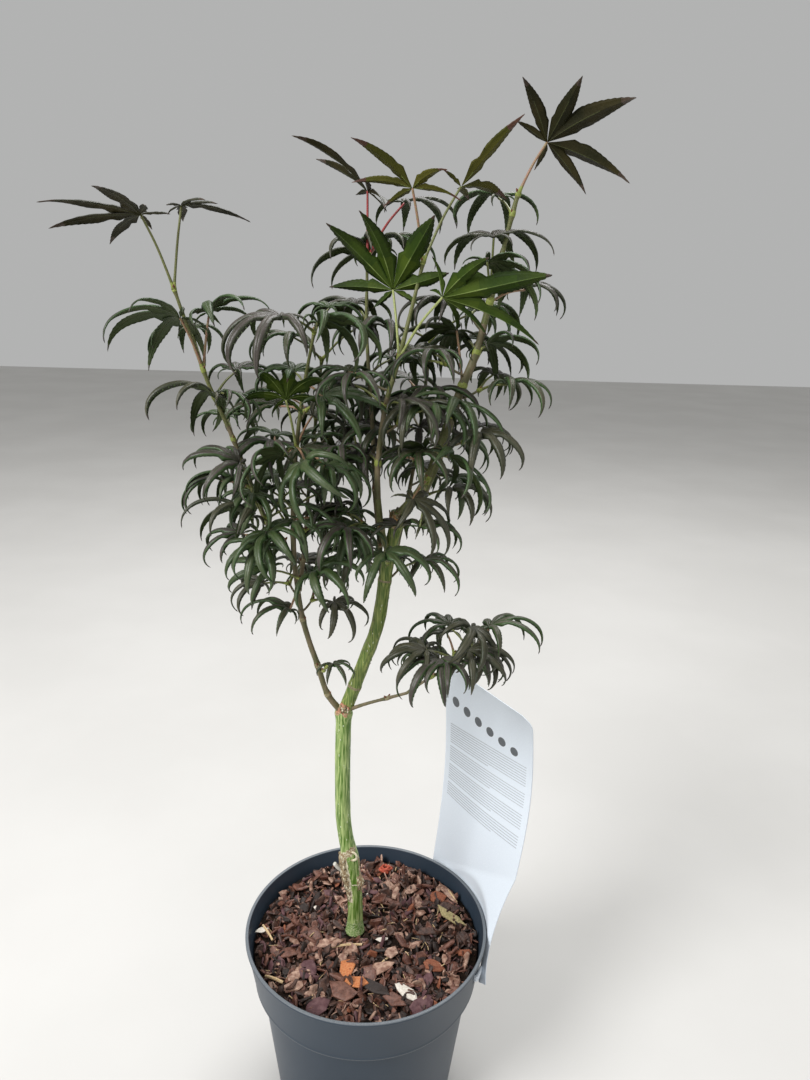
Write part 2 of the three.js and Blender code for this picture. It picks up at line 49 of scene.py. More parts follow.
# The pot, the mulch and the trunk, as in the solids but for the inset under the collar and the slot in it
POT_HEIGHT = 150
BODY_INSET = 1.0
# The depth of the band under the collar that takes the painted shadow
SHADE_DEPTH = 2.2
RIM_RADIUS = 95
COLLAR_FOOT_RADIUS = 88
COLLAR_FOOT_HEIGHT = 110
BODY_TOP_RADIUS = 84.5
BODY_FOOT_RADIUS = 70.5
WALL = 1.8
LIP = 2.4
FLOOR = 2.4
DRAIN_HOLES = 8
DRAIN_RADIUS = 5
DRAIN_CIRCLE = 55
MULCH_HEIGHT = 136
MULCH_CLIMB = 3
MULCH_EDGE = 88.6
SHARP = radians(35)
SLOT_TURN = -25
SLOT_HEIGHT = 137
SLOT_HALF = (2.2, 5)
TRUNK_FOOT = (-9.7, 6.8, MULCH_HEIGHT + 0.3)
TRUNK_PATH = [TRUNK_FOOT, (-10, 6, 168), (-13.5, 5, 204), (-19, 5, 240), (-20, 5, 285), (-19.2, 5, 336)]
TRUNK_RADIUS = 5.7
ROOT_FLARE = 2.2
GRAFT_HEIGHT = 205
GRAFT_SWELLING = 2.1
GRAFT_REACH = 13
FORK_SWELLING = 1.4

# Limbs: the points that each runs through, its radius at both ends and its kind of bark
LIMBS = {
    "main_leader": (
        [(-18.5, 5, 335), (-6, 3, 372), (5, 0, 408), (11, -2, 453), (18, -4, 490)], (4.8, 4.2), "leader"),
    "left_stem": (
        [(-20, 5, 333), (-31, 4, 349), (-38, 2, 373), (-48, 0, 409), (-53, -3, 452)], (2.1, 1.8), "shoot"),
    "low_twig": ([(-17, 4, 336), (-2.6, -2, 345), (12.5, -4, 351), (26.5, -6, 356.5)], (1.3, 1.0), "shoot"),
    "right_bough": ([(17, -4, 486), (34, -4, 507), (42, -4, 527), (49, -1, 549)], (3.8, 3.3), "shoot"),
    "left_bough": ([(-53, -3, 451), (-60, -6, 468), (-66, -7, 477)], (1.9, 1.8), "shoot"),
    "centre_left_bough": ([(-53, -3, 451), (-53.5, -2, 472), (-53, -2, 493)], (1.9, 1.8), "shoot"),
    "centre_bough": ([(12, -3, 458), (6.5, -11, 480), (4, -16, 503)], (2.1, 2.0), "shoot"),
    "inner_bough": ([(8, 1, 428), (5, 8, 462), (1, 9, 502), (-1, 9, 544)], (1.8, 1.4), "shoot"),
    "back_left_bough": ([(-50, 0, 430), (-49, 12, 448), (-48, 22, 469)], (1.6, 1.3), "shoot"),
    "back_right_bough": ([(11, 0, 448), (17, 14, 462), (22, 24, 483)], (1.8, 1.5), "shoot"),
}

# Leaf kinds: how far a lobe is lifted where it starts and bent down by its tip, and how much further its
# last part hooks; its half width, the bay between two lobes and the neck above it as parts of its length;
# where it is widest; how far its edges roll down, as a part of its half width; the depth of its teeth; and
# how much its lobes differ, in degrees
BENT = dict(bay=0.25, widest=0.46, differ=10)
FLAT = dict(half=0.122, bay=0.27, neck=0.6, widest=0.5, roll=-0.25, teeth=0.05, differ=6)
KINDS = {
    "claw": dict(BENT, lift=40, curl=98, hook=36, half=0.067, neck=0.74, roll=0.62, teeth=0.06),
    "arch": dict(BENT, lift=32, curl=66, hook=32, half=0.071, neck=0.72, roll=0.5, teeth=0.07),
    "fresh": dict(BENT, lift=26, curl=72, hook=28, half=0.08, neck=0.7, widest=0.48, roll=0.5, teeth=0.05,
                  differ=8),
    "young": dict(FLAT, lift=8, curl=22, hook=4),
    "cup": dict(FLAT, lift=28, curl=-5, hook=8),
}
LOBE_TURNS = [-128, -80, -39, 0, 39, 80, 128]
LOBE_LENGTHS = [0.34, 0.74, 0.95, 1, 0.95, 0.74, 0.34]
PALM_SPREAD = 0.37
SINUS = 0.1
STALK_RADII = (0.85, 0.7)
STALK_FLARE = 0.9
STALK_ARCH = 0.06

# Shoots: the stem's nodes from the bough's tip, its radii, and its leaves as (node, turn, rise, stalk, lobe,
# kind, face, aim, roll), as in the solids, with the look, the stalk and the form of a leaf that differs from
# its kind. A length of 0 is a lobe that such a leaf lacks. The rear leaves of a shoot follow its rule.
SLIM = dict(half=0.06)
BRIGHT = dict(look="bright", stalk="stalk_bright", bay=0.33)
NEWEST = dict(look="dusky", stalk="shoot_green", roll=0.3)
SHOOTS = {
    "left_crown": dict(
        stem=[(-66, -7, 476.5), (-71, -8, 483), (-90, -10, 537), (-101, -11, 564), (-107, -12, 581),
              (-122, -14, 629)],
        radii=(1.7, 1.0),
        leaves=[
            (1, 245, 58, 50, 50, "claw", 205, 15, -25),
            (1, 204, 60, 30, 51, "claw", 166, 5, 15),
            (1, 262, 18, 30, 58, "claw", 190, 20, 20),
            (1, 285, 1, 33, 50, "claw", 255, -20, 20),
            (1, 338, 27, 29, 46, "arch", 18, -30, -5),
            (3, 282, 7, 24, 64, "claw", 165, 5, 20, dict(look="olive")),
            (3, 300, 13, 22, 37, "claw", 16, -20, -5),
            (4, 217, 67, 34, 61, "arch", 167, -8, 28, dict(
                look="plum_green", lift=32, curl=62, hook=42, half=0.06,
                lengths=[0.36, 0.8, 1.05, 1.1, 1, 0.74, 0.34])),
            (4, 74, 73, 36, 46, "fresh", 323, 30, 5, dict(look="green")),
            (5, 187, 68, 45, 58, "young", 220, 6, 15, dict(
                NEWEST, half=0.09, lengths=[0.34, 0.74, 0.95, 1, 0.9, 0.45, 0.34])),
            (5, 58, 79, 49, 58, "young", 21, 10, -5, dict(
                NEWEST, half=0.085, lengths=[0.34, 0.6, 0.45, 0.4, 0.95, 0.6, 0.3])),
        ],
        rear=dict(nodes=[1, 2, 3, 4], first=70, rise=30, stalk=28, lobe=50),
    ),
    "centre_left_crown": dict(
        stem=[(-53, -2, 492), (-50, -6, 532), (-44, -8, 573), (-37, -12, 606)],
        radii=(1.6, 1.0),
        leaves=[
            (1, 259, 61, 38, 49, "fresh", 284, 50, -5, BRIGHT),
            (1, 261, 0, 28, 53, "claw", 208, -20, 45, SLIM),
            (1, 286, -3, 38, 60, "claw", 260, -35, 40, dict(curl=112, half=0.056)),
            (1, 308, -9, 36, 54, "claw", 7, -20, 5, dict(SLIM, look="green")),
            (2, 302, -10, 26, 55, "arch", 357, -10, 20),
            (3, 247, 13, 38, 64, "claw", 220, -15, -5, dict(SLIM, look="plum")),
            (3, 281, 14, 25, 64, "claw", 7, -10, -20, dict(SLIM, look="green")),
        ],
        rear=dict(nodes=[1, 2, 3], first=80, rise=25, stalk=30, lobe=52),
    ),
    "centre_crown": dict(
        stem=[(4, -16, 502), (4, -20, 526), (8, -22, 562), (16, -22, 592), (29, -20, 648)],
        radii=(2.0, 1.0),
        leaves=[
            (1, 114, 8, 18, 50, "claw", 179, -20, -20),
            (2, 292, 14, 25, 52, "claw", 357, -12, 0),
            (2, 136, 20, 34, 45, "claw", 154, -10, -25),
            (3, 121, 77, 41, 56, "young", 240, 60, 10, dict(
                BRIGHT, half=0.1, roll=-0.45, lengths=[0.34, 0.74, 0.95, 1, 1.2, 0.74, 0.34])),
            (3, 318, 48, 49, 61, "cup", 338, -34, -40, dict(
                BRIGHT, half=0.088, roll=-0.45, lengths=[0.4, 0.74, 1.15, 1, 0.6, 0.74, 0.34])),
            (3, 66, 3, 24, 48, "claw", 70, 5, 0),
            (4, 208, 78, 41, 46, "young", 260, 38, -13, dict(
                look="tipped", stalk="stalk_pink", half=0.085, widest=0.4,
                lengths=[0.55, 0.8, 1.02, 0, 0.8, 0.68, 0])),
            (4, 16, 63, 48, 51, "cup", 3, 8, -30, dict(
                look="tipped", half=0.085, lengths=[0.34, 0, 1.02, 0, 0.97, 0.58, 0])),
        ],
    ),
    "inner_crown": dict(
        stem=[(-1, 9, 543), (-4, 11, 578), (-6, 12, 612), (-6, 14, 651)],
        radii=(1.4, 0.9),
        leaves=[
            (3, 83, 17, 15, 59, "arch", 233, 9, 23, dict(stalk="stalk_red")),
            (3, 94, 62, 47, 55, "young", 240, 30, -28, dict(
                look="dusky", stalk="stalk_red", half=0.1, twist=48,
                lengths=[0.34, 0.78, 1.06, 0, 0.5, 0.74, 0.34])),
            (3, 49, 46, 49, 54, "arch", 50, 0, 0, dict(stalk="stalk_red")),
        ],
        rear=dict(nodes=[1, 2, 3], first=60, rise=30, stalk=30, lobe=52),
    ),
    "right_crown": dict(
        stem=[(49, -1, 548.5), (51, 0, 555), (57, 1, 574), (65, 2, 595), (72, 4, 626), (83, 4, 678),
              (86, 4, 690)],
        radii=(3.1, 1.3),
        leaves=[
            (1, 278, 36, 17, 51, "arch", 289, -12, -20),
            (2, 125, 76, 35, 56, "arch", 147, -13, 24, dict(stalk="stalk_pink")),
            (3, 340, 35, 7, 53, "claw", 30, -8, -28),
            (4, 270, 84, 38, 63, "arch", 77, 3, -5, dict(look="plum")),
            (4, 258, 46, 32, 57, "arch", 23, -26, -10, dict(look="plum_green")),
            (6, 352, 62, 32, 56, "young", 325, 16, -50, dict(
                look="dusky", stalk="stalk_pink", half=0.1, neck=0.68, widest=0.4, roll=-0.4, teeth=0.03,
                turns=[-120, -80, -40, -9, 47, 78, 128], lengths=[0.4, 0.74, 0.83, 1.1, 0.95, 0.66, 0.34])),
        ],
        rear=dict(nodes=[2, 3, 4, 5], first=50, rise=25, stalk=30, lobe=52),
    ),
    "right_skirt": dict(
        stem=[(34, -4, 507), (37, -12, 515), (42, -16, 530)],
        radii=(1.2, 1.0),
        leaves=[
            (2, 296, 11, 14, 55, "arch", 330, -30, -35),
            (2, 225, 30, 13, 40, "arch", 190, -5, 30),
            (1, 244, -20, 26, 51, "arch", 346, -35, 5),
            (1, 254, -57, 34, 46, "claw", 30, 0, 0),
            (1, 214, -54, 37, 44, "claw", 123, -8, -5),
        ],
    ),
    "low_spray": dict(
        stem=[(26.5, -6, 356.5), (44, -10, 372), (72, -12, 390)],
        radii=(1.1, 0.9),
        leaves=[
            (1, 162, 72, 21, 43, "claw", 134, 0, 5),
            (1, 280, 47, 33, 54, "claw", 235, -10, 0),
            (2, 253, 62, 31, 51, "claw", 291, -25, -30),
            (2, 348, 65, 24, 57, "claw", 10, 8, -12),
            (2, 68, -9, 17, 45, "claw", 306, -14, -10),
        ],
        rear=dict(nodes=[1, 2], first=85, rise=30, stalk=24, lobe=44),
    ),
    "left_skirt": dict(
        stem=[(-51, -2, 431), (-50, -10, 433), (-46, -18, 445)],
        radii=(1.2, 1.0),
        leaves=[
            (2, 197, 22, 23, 47, "claw", 161, 5, -30),
            (2, 299, 28, 26, 52, "claw", 315, 12, 20),
            (1, 231, -57, 14, 49, "claw", 182, 14, 10, SLIM),
        ],
    ),
    "centre_skirt": dict(
        stem=[(11, -3, 452), (11, -12, 457), (13, -20, 464)],
        radii=(1.2, 1.0),
        leaves=[
            (2, 256, 25, 14, 52, "fresh", 300, -10, 10, dict(SLIM, look="green", lift=36, curl=98, hook=50)),
        ],
    ),
    "fork_spray": dict(
        stem=[(-36, 3, 367), (-33, -3, 371), (-31, -7, 376)],
        radii=(0.9, 0.8),
        leaves=[(2, 310, 33, 10, 26, "claw", 300, 0, 0)],
    ),
    "back_left_crown": dict(
        stem=[(-48, 22, 468), (-46, 32, 505), (-42, 38, 545), (-38, 40, 585)],
        radii=(1.3, 1.0),
        leaves=[],
        rear=dict(nodes=[1, 2, 3], first=40, rise=30, stalk=34, lobe=54, pairs=True),
    ),
    "back_right_crown": dict(
        stem=[(22, 24, 482), (28, 34, 518), (33, 40, 558), (36, 42, 600)],
        radii=(1.5, 1.0),
        leaves=[],
        rear=dict(nodes=[1, 2, 3], first=20, rise=30, stalk=34, lobe=54, pairs=True),
    ),
}
REAR_SEED = 635
REAR_STEP = 45
PAIR_STEP = 90
REAR_SCATTER = 14

# Surfaces by name: two tones, in thousandths, that are mottled together, and roughness and gloss
TONES = {
    # The claws' top tones are their own colour lightened by a painted sheen, and their edge tones the same
    # colour darkened by painted shade
    "plum_ridge": ((38, 31, 24), (72, 60, 50), 0.46, 0.5),
    "olive_ridge": ((38, 38, 18), (70, 66, 38), 0.46, 0.5),
    "green_ridge": ((34, 56, 14), (66, 86, 36), 0.46, 0.5),
    "plum_edge": ((28, 34, 15), (46, 50, 27), 0.46, 0.5),
    "green_edge": ((26, 56, 12), (46, 86, 26), 0.46, 0.5),
    "claw_under": ((30, 48, 12), (46, 64, 18), 0.6, 0.3),
    "fresh_top": ((22, 48, 10), (36, 66, 16), 0.42, 0.5),
    "bright_under": ((34, 58, 4), (52, 82, 7), 0.6, 0.16),
    "mid_under": ((21, 43, 3), (36, 62, 5), 0.6, 0.16),
    "deep_under": ((14, 29, 3), (28, 46, 4), 0.6, 0.16),
    "young_top": ((16, 19, 6), (32, 30, 11), 0.45, 0.4),
    "young_under": ((13, 13, 3), (28, 23, 6), 0.6, 0.14),
    "tipped_under": ((50, 52, 5), (74, 70, 9), 0.6, 0.16),
    "red_tip": ((58, 20, 10), (80, 32, 16), 0.5, 0.35),
    "brown_tip": ((30, 18, 9), (44, 26, 13), 0.5, 0.35),
    "vein": ((150, 210, 45), (190, 250, 70), 0.5, 0.35),
    "far_vein": ((65, 105, 18), (85, 130, 26), 0.5, 0.3),
    "dark_vein": ((36, 42, 10), (55, 60, 18), 0.5, 0.3),
    "stalk_green": ((160, 190, 55), (120, 110, 45), 0.45, 0.4),
    "stalk_bright": ((370, 410, 160), (280, 320, 110), 0.45, 0.4),
    "stalk_pink": ((300, 150, 100), (240, 190, 90), 0.45, 0.4),
    "stalk_red": ((300, 35, 40), (200, 50, 35), 0.45, 0.4),
    "shoot_bark": ((100, 98, 42), (185, 145, 85), 0.55, 0.35),
    "shoot_green": ((110, 130, 36), (160, 150, 65), 0.5, 0.35),
    "shoot_node": ((210, 260, 48), (290, 310, 85), 0.5, 0.35),
    "old_node": ((185, 165, 85), (340, 290, 180), 0.7, 0.25),
    "bud": ((120, 35, 20), (180, 90, 35), 0.5, 0.35),
    "leader_bark": ((80, 140, 24), (290, 330, 95), 0.5, 0.35),
    "knot_orange": ((400, 170, 65), (500, 340, 170), 0.8, 0.2),
    "trunk_green": ((75, 165, 14), (420, 520, 200), 0.46, 0.4),
    "trunk_bloom": ((120, 220, 45), (440, 500, 260), 0.7, 0.25),
    "lenticel": ((580, 640, 420), (700, 740, 580), 0.7, 0.25),
    "graft_tan": ((250, 175, 95), (440, 350, 220), 0.85, 0.2),
    "graft_pale": ((660, 610, 450), (520, 460, 320), 0.8, 0.2),
    "scar_pink": ((460, 160, 110), (500, 330, 200), 0.8, 0.2),
    "dead_wood": ((560, 540, 480), (720, 700, 640), 0.85, 0.2),
    "soil": ((14, 9, 7), (30, 18, 12), 0.95, 0.1),
    "bark_red": ((90, 31, 18), (190, 83, 56), 0.5, 0.5),
    "bark_brown": ((36, 16, 11), (96, 46, 31), 0.5, 0.5),
    "bark_dark": ((14, 8, 6), (36, 21, 16), 0.6, 0.4),
    "bark_tan": ((200, 98, 66), (460, 300, 222), 0.55, 0.4),
    "bark_plum": ((85, 36, 40), (140, 72, 74), 0.65, 0.3),
    "bark_brick": ((200, 60, 30), (280, 110, 60), 0.7, 0.25),
    "bark_orange": ((480, 150, 55), (560, 240, 100), 0.7, 0.25),
    "bark_khaki": ((220, 190, 85), (380, 300, 160), 0.75, 0.25),
    "straw": ((500, 340, 170), (640, 500, 310), 0.8, 0.2),
    "white_bit": ((600, 540, 460), (740, 690, 620), 0.8, 0.2),
    "dry_red": ((340, 50, 28), (460, 110, 60), 0.6, 0.3),
    # The rim's top and the collar's foot are lighter, painted highlights; the band under the collar is
    # darker, painted shadow
    "pot_plastic": ((29, 43, 62), (34, 50, 71), 0.42, 0.4),
    "pot_lip": ((125, 142, 160), (145, 162, 180), 0.4, 0.45),
    "pot_edge": ((80, 95, 110), (100, 114, 128), 0.45, 0.4),
    "pot_shade": ((20, 28, 40), (25, 33, 46), 0.5, 0.3),
    "card_white": ((720, 780, 850), (740, 800, 870), 0.4, 0.4),
    "card_grey": ((420, 450, 490), (480, 510, 550), 0.5, 0.3),
    "card_dark": ((110, 120, 130), (130, 140, 150), 0.5, 0.3),
    "pale_floor": ((600, 590, 570), (630, 620, 600), 0.9, 0.1),
}
# Grain of the mottling where it differs from a fine even one: how fine, how it is stretched, how deep
LEAF_SURFACES = ["plum_ridge", "olive_ridge", "green_ridge", "plum_edge", "green_edge", "fresh_top",
                 "claw_under", "young_under", "tipped_under", "bright_under", "mid_under", "deep_under"]
CHIP_SURFACES = ["bark_red", "bark_brown", "bark_tan", "bark_plum"]
GRAINS = {
    **dict.fromkeys(LEAF_SURFACES, dict(scale=60, fine=620, relief=0.0005)),
    **dict.fromkeys(CHIP_SURFACES, dict(scale=260, fine=900, relief=0.0008)),
    **dict.fromkeys(["trunk_green", "leader_bark"], dict(scale=900, stretch=(1, 1, 0.07), relief=0.0003)),
    "shoot_bark": dict(scale=260, stretch=(1, 1, 0.3), relief=0.0003),
    "graft_tan": dict(scale=700, relief=0.0008),
    "soil": dict(scale=500, relief=0.002),
    "pot_plastic": dict(scale=14, relief=0.0001),
    "pale_floor": dict(scale=3, relief=0.0001),
}
MOTTLE_DETAIL = 5
MOTTLE_SPAN = (0.4, 0.64)
RELIEF_STRENGTH = 0.5


def make_material(name, base, second, roughness, gloss, scale=900, stretch=(1, 1, 1), relief=0.0002,
                  fine=None):
    """A surface mottled between two tones, with a relief of the same grain or a finer one."""
    material = bpy.data.materials.new(name)
    material.use_nodes = True
    nodes, links = material.node_tree.nodes, material.node_tree.links
    shader = nodes["Principled BSDF"]
    shader.inputs["Roughness"].default_value = roughness
    shader.inputs["Specular IOR Level"].default_value = gloss
    place = nodes.new("ShaderNodeTexCoord")
    mapping = nodes.new("ShaderNodeMapping")
    mapping.inputs["Scale"].default_value = stretch
    links.new(place.outputs["Object"], mapping.inputs["Vector"])

    def grain(fineness):
        texture = nodes.new("ShaderNodeTexNoise")
        texture.inputs["Scale"].default_value = fineness
        links.new(mapping.outputs["Vector"], texture.inputs["Vector"])
        return texture

    mottle = grain(scale)
    mottle.inputs["Detail"].default_value = MOTTLE_DETAIL
    ramp = nodes.new("ShaderNodeValToRGB")
    for stop, position, tone in zip(ramp.color_ramp.elements, MOTTLE_SPAN, (base, second)):
        stop.position = position
        stop.color = (*(part / 1000 for part in tone), 1)
    links.new(mottle.outputs["Fac"], ramp.inputs["Fac"])
    links.new(ramp.outputs["Color"], shader.inputs["Base Color"])
    bump = nodes.new("ShaderNodeBump")
    bump.inputs["Strength"].default_value = RELIEF_STRENGTH
    bump.inputs["Distance"].default_value = relief
    links.new((grain(fine) if fine else mottle).outputs["Fac"], bump.inputs["Height"])
    links.new(bump.outputs["Normal"], shader.inputs["Normal"])
    return material


MATERIALS = {name: make_material(name, *tone, **GRAINS.get(name, {})) for name, tone in TONES.items()}


def placed(name, data):
    """A new object in the scene."""
    item = bpy.data.objects.new(name, data)
    bpy.context.collection.objects.link(item)
    return item


class Solid:
    """Gathers closed shells, in millimetres, with one surface or one for each face, into one mesh."""

    def __init__(self):
        self.points = []
        self.faces = []
        self.slots = []
        self.count = 0

    def add(self, points, faces, slots):
        self.points.append(np.asarray(points, float).reshape(-1, 3))
        self.faces.extend(tuple(self.count + i for i in face) for face in faces)
        self.slots.extend([slots] * len(faces) if isinstance(slots, str) else slots)
        self.count += len(self.points[-1])

    def build(self, name, replaced, record_slot, smooth=True):
        mesh = bpy.data.meshes.new(name)
        mesh.from_pydata((np.concatenate(self.points) * MM).tolist(), [], self.faces)
        names = sorted(set(self.slots))
        for slot_name in names:
            mesh.materials.append(MATERIALS[slot_name])
        mesh.polygons.foreach_set("material_index", [names.index(slot_name) for slot_name in self.slots])
        mesh.polygons.foreach_set("use_smooth", [smooth] * len(mesh.polygons))
        mesh.update()
        piece = placed(name, mesh)
        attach(piece, "root")
        if replaced:
            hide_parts(replaced)
        return piece


def direction(turn, rise):
    turn, rise = radians(turn), radians(rise)
    return np.array([cos(rise) * cos(turn), cos(rise) * sin(turn), sin(rise)])


def unit(vector):
    return vector / norm(vector, axis=-1, keepdims=True)


def ease(part):
    """From 0 to 1 with a soft start and end."""
    part = np.clip(part, 0, 1)
    return part * part * (3 - 2 * part)


def uneven(*place):
    """A smooth random value at a place."""
    return noise.noise(Vector(place))


def bump(away, reach):
    """A bump's height, from 1 at its middle, at a distance from it."""
    return exp(-((away / reach) ** 2))


def ring_faces(first, last, sides):
    """Quads that join rings of points, from the ring that starts at first to the one that starts at last."""
    faces = []
    for a in range(first, last, sides):
        b = a + sides
        faces += [(a + i, a + (i + 1) % sides, b + (i + 1) % sides, b + i) for i in range(sides)]
    return faces


def turned_faces(sides, rings):
    """Faces of a turned shell whose points are a first pole, its rings and a last pole."""
    last = 1 + (rings - 1) * sides
    start = [(0, 1 + (i + 1) % sides, 1 + i) for i in range(sides)]
    end = [(last + i, last + (i + 1) % sides, last + sides) for i in range(sides)]
    return start + ring_faces(1, last, sides) + end


def plate_faces(count):
    """Faces of a thin plate whose points are its outline on one side, and then on the other."""
    edge = [(i, i + count, (i + 1) % count + count, (i + 1) % count) for i in range(count)]
    return [tuple(range(count)), tuple(range(2 * count - 1, count - 1, -1)), *edge]


def flipped(face):
    """The same face with its other side out."""
    return face[0], *face[:0:-1]


def around(radius, sides):
    return [(radius * cos(2 * pi * i / sides), radius * sin(2 * pi * i / sides)) for i in range(sides)]


def spline(points, parts):
    """Points and forward ways along the smooth curve that the solids follow, at some parts of its way."""
    points = np.asarray(points, float)
    points = np.vstack([2 * points[0] - points[1], points, 2 * points[-1] - points[-2]])
    spans = len(points) - 3
    place = np.clip(np.asarray(parts, float), 0, 1) * spans
    first = np.minimum(place.astype(int), spans - 1)
    t = (place - first)[:, None]
    p0, p1, p2, p3 = (points[first + i] for i in range(4))
    t0, t1 = 0.5 * (p2 - p0), 0.5 * (p3 - p1)
    c2, c3 = -3 * p1 + 3 * p2 - 2 * t0 - t1, 2 * p1 - 2 * p2 + t0 + t1
    return p1 + t * t0 + t * t * c2 + t ** 3 * c3, unit(t0 + 2 * t * c2 + 3 * t * t * c3)


def tube(solid, path, radius_at, slot_at, sides=12, step=2.0, relief=0.0, grain=(0.9, 0.1)):
    """A closed tube along a path. radius_at(centre, way) and slot_at(centre, way) say what it is like."""
    length = norm(np.diff(np.asarray(path, float), axis=0), axis=1).sum()
    rings = max(3, int(length / step))
    centres, forward = spline(path, np.linspace(0, 1, rings + 1))
    side = unit(np.cross((0.0, 1.0, 0.0), forward[0]))
    turns = np.linspace(0, 2 * pi, sides, endpoint=False)
    points = []
    slots = []
    for centre, ahead in zip(centres, forward):
        across = unit(side - ahead * (side @ ahead))
        over = np.cross(ahead, across)
        for turn in turns:
            way = cos(turn) * across + sin(turn) * over
            radius = radius_at(centre, way)
            if relief:
                x, y = way[:2] * radius * grain[0]
                radius += relief * uneven(x, y, centre[2] * grain[1])
            points.append(centre + way * radius)
            slots.append(slot_at(centre, way))
    last = rings * sides
    faces = ring_faces(0, last, sides) + [tuple(range(sides - 1, -1, -1)), tuple(range(last, last + sides))]
    solid.add(points, faces, slots[:last] + [slots[0], slots[-1]])


def even(radius):
    return lambda centre, way: radius


def plain(slot_name):
    return lambda centre, way: slot_name


def swelling(centre, points, reach):
    """How near a place is to one of the points, from 0 to 1."""
    return bump(min(norm(centre - point) for point in points), reach)


def tapering(path, radii):
    """The radius of a limb that tapers evenly along its path's own points."""
    points = np.asarray(path, float)
    runs = np.concatenate([[0], np.cumsum(norm(np.diff(points, axis=0), axis=1))])

    def radius_at(centre, way):
        aways = norm(points - centre, axis=1)
        near = int(np.argmin(aways))
        forward = near == 0 or (near < len(points) - 1 and aways[near + 1] < aways[near - 1])
        other = near + 1 if forward else near - 1
        span = aways[near] + aways[other]
        run = runs[near] + (runs[other] - runs[near]) * aways[near] / span
        return radii[0] + (radii[1] - radii[0]) * run / runs[-1]

    return radius_at


# Places across a lobe, from its right edge over the top to its left edge and back underneath
RIDGE = 0.62
VEIN = 0.05
ACROSS = np.array([-1.0, -RIDGE, -VEIN, 0.0, VEIN, RIDGE, 1.0, RIDGE, VEIN, 0.0, -VEIN, -RIDGE])
OUTWARD = np.abs(ACROSS)
RING = len(ACROSS)
LEFT_EDGE = 6
ON_EDGE = OUTWARD == 1
ON_RIDGE = OUTWARD == RIDGE
TOP_SIDE = np.arange(RING) < LEFT_EDGE
VEIN_BANDS = (2, 3, 8, 9)
EDGE_BANDS = (0, 5, 6, 11)
EDGE_AHEAD = 0.22
WRINKLE = 0.16
FOLD = 0.13
# Half the thickness there, and the midrib: a groove on top, and a rib between two steps underneath
THICK = 0.5
EDGE_THICK = 0.3
GROOVE, RIB, RIB_FOOT = -0.12, 0.22, 0.1
MIDRIB = np.where(TOP_SIDE, GROOVE * (ACROSS == 0), np.where(ACROSS == 0, RIB, RIB_FOOT * (OUTWARD == VEIN)))
SECTION = np.where(ON_EDGE, 0, THICK / 2 - (THICK - EDGE_THICK) / 2 * ACROSS ** 2 + MIDRIB)
LEVEL = np.where(TOP_SIDE, SECTION, -SECTION)
LONG_STEPS = 30
SHORT_STEPS = 14
# How far a lobe is turned, swayed and twisted by chance, in degrees, and where on it its last part hooks
TURN_SCATTER = 4
SWAY_SCATTER = 9
TWIST_SCATTER = 28
LENGTH_SCATTER = 0.06
HOOK_START = 0.62
# How a lobe narrows to its point, how its rolled edge waves, and how its teeth stand out and lean forward
POINTED = 0.35
WAVE_DEPTH = 0.15
WAVES = 9
ROLL_POWER = 1.7
NOTCH = 0.3
TOOTH_LEAN = 0.35


def lobe_width(parts, form):
    """Half width along a lobe: webbed in the palm, narrow at the bay, then widest and drawn to a point."""
    half, bay, widest = form["half"], form["bay"], form["widest"]
    beyond = np.clip((parts - widest) / (1 - widest), 0, 1)
    outer = half * (1 - beyond ** 2) * (1 - POINTED * beyond)
    inner = half * (form["neck"] + (1 - form["neck"]) * ease((parts - bay) / (widest - bay)))
    blade = np.where(parts < widest, inner, outer)
    web = ease((parts - bay) / SINUS)
    palm = PALM_SPREAD * np.minimum(parts, bay)
    return palm * (1 - web) + blade * web


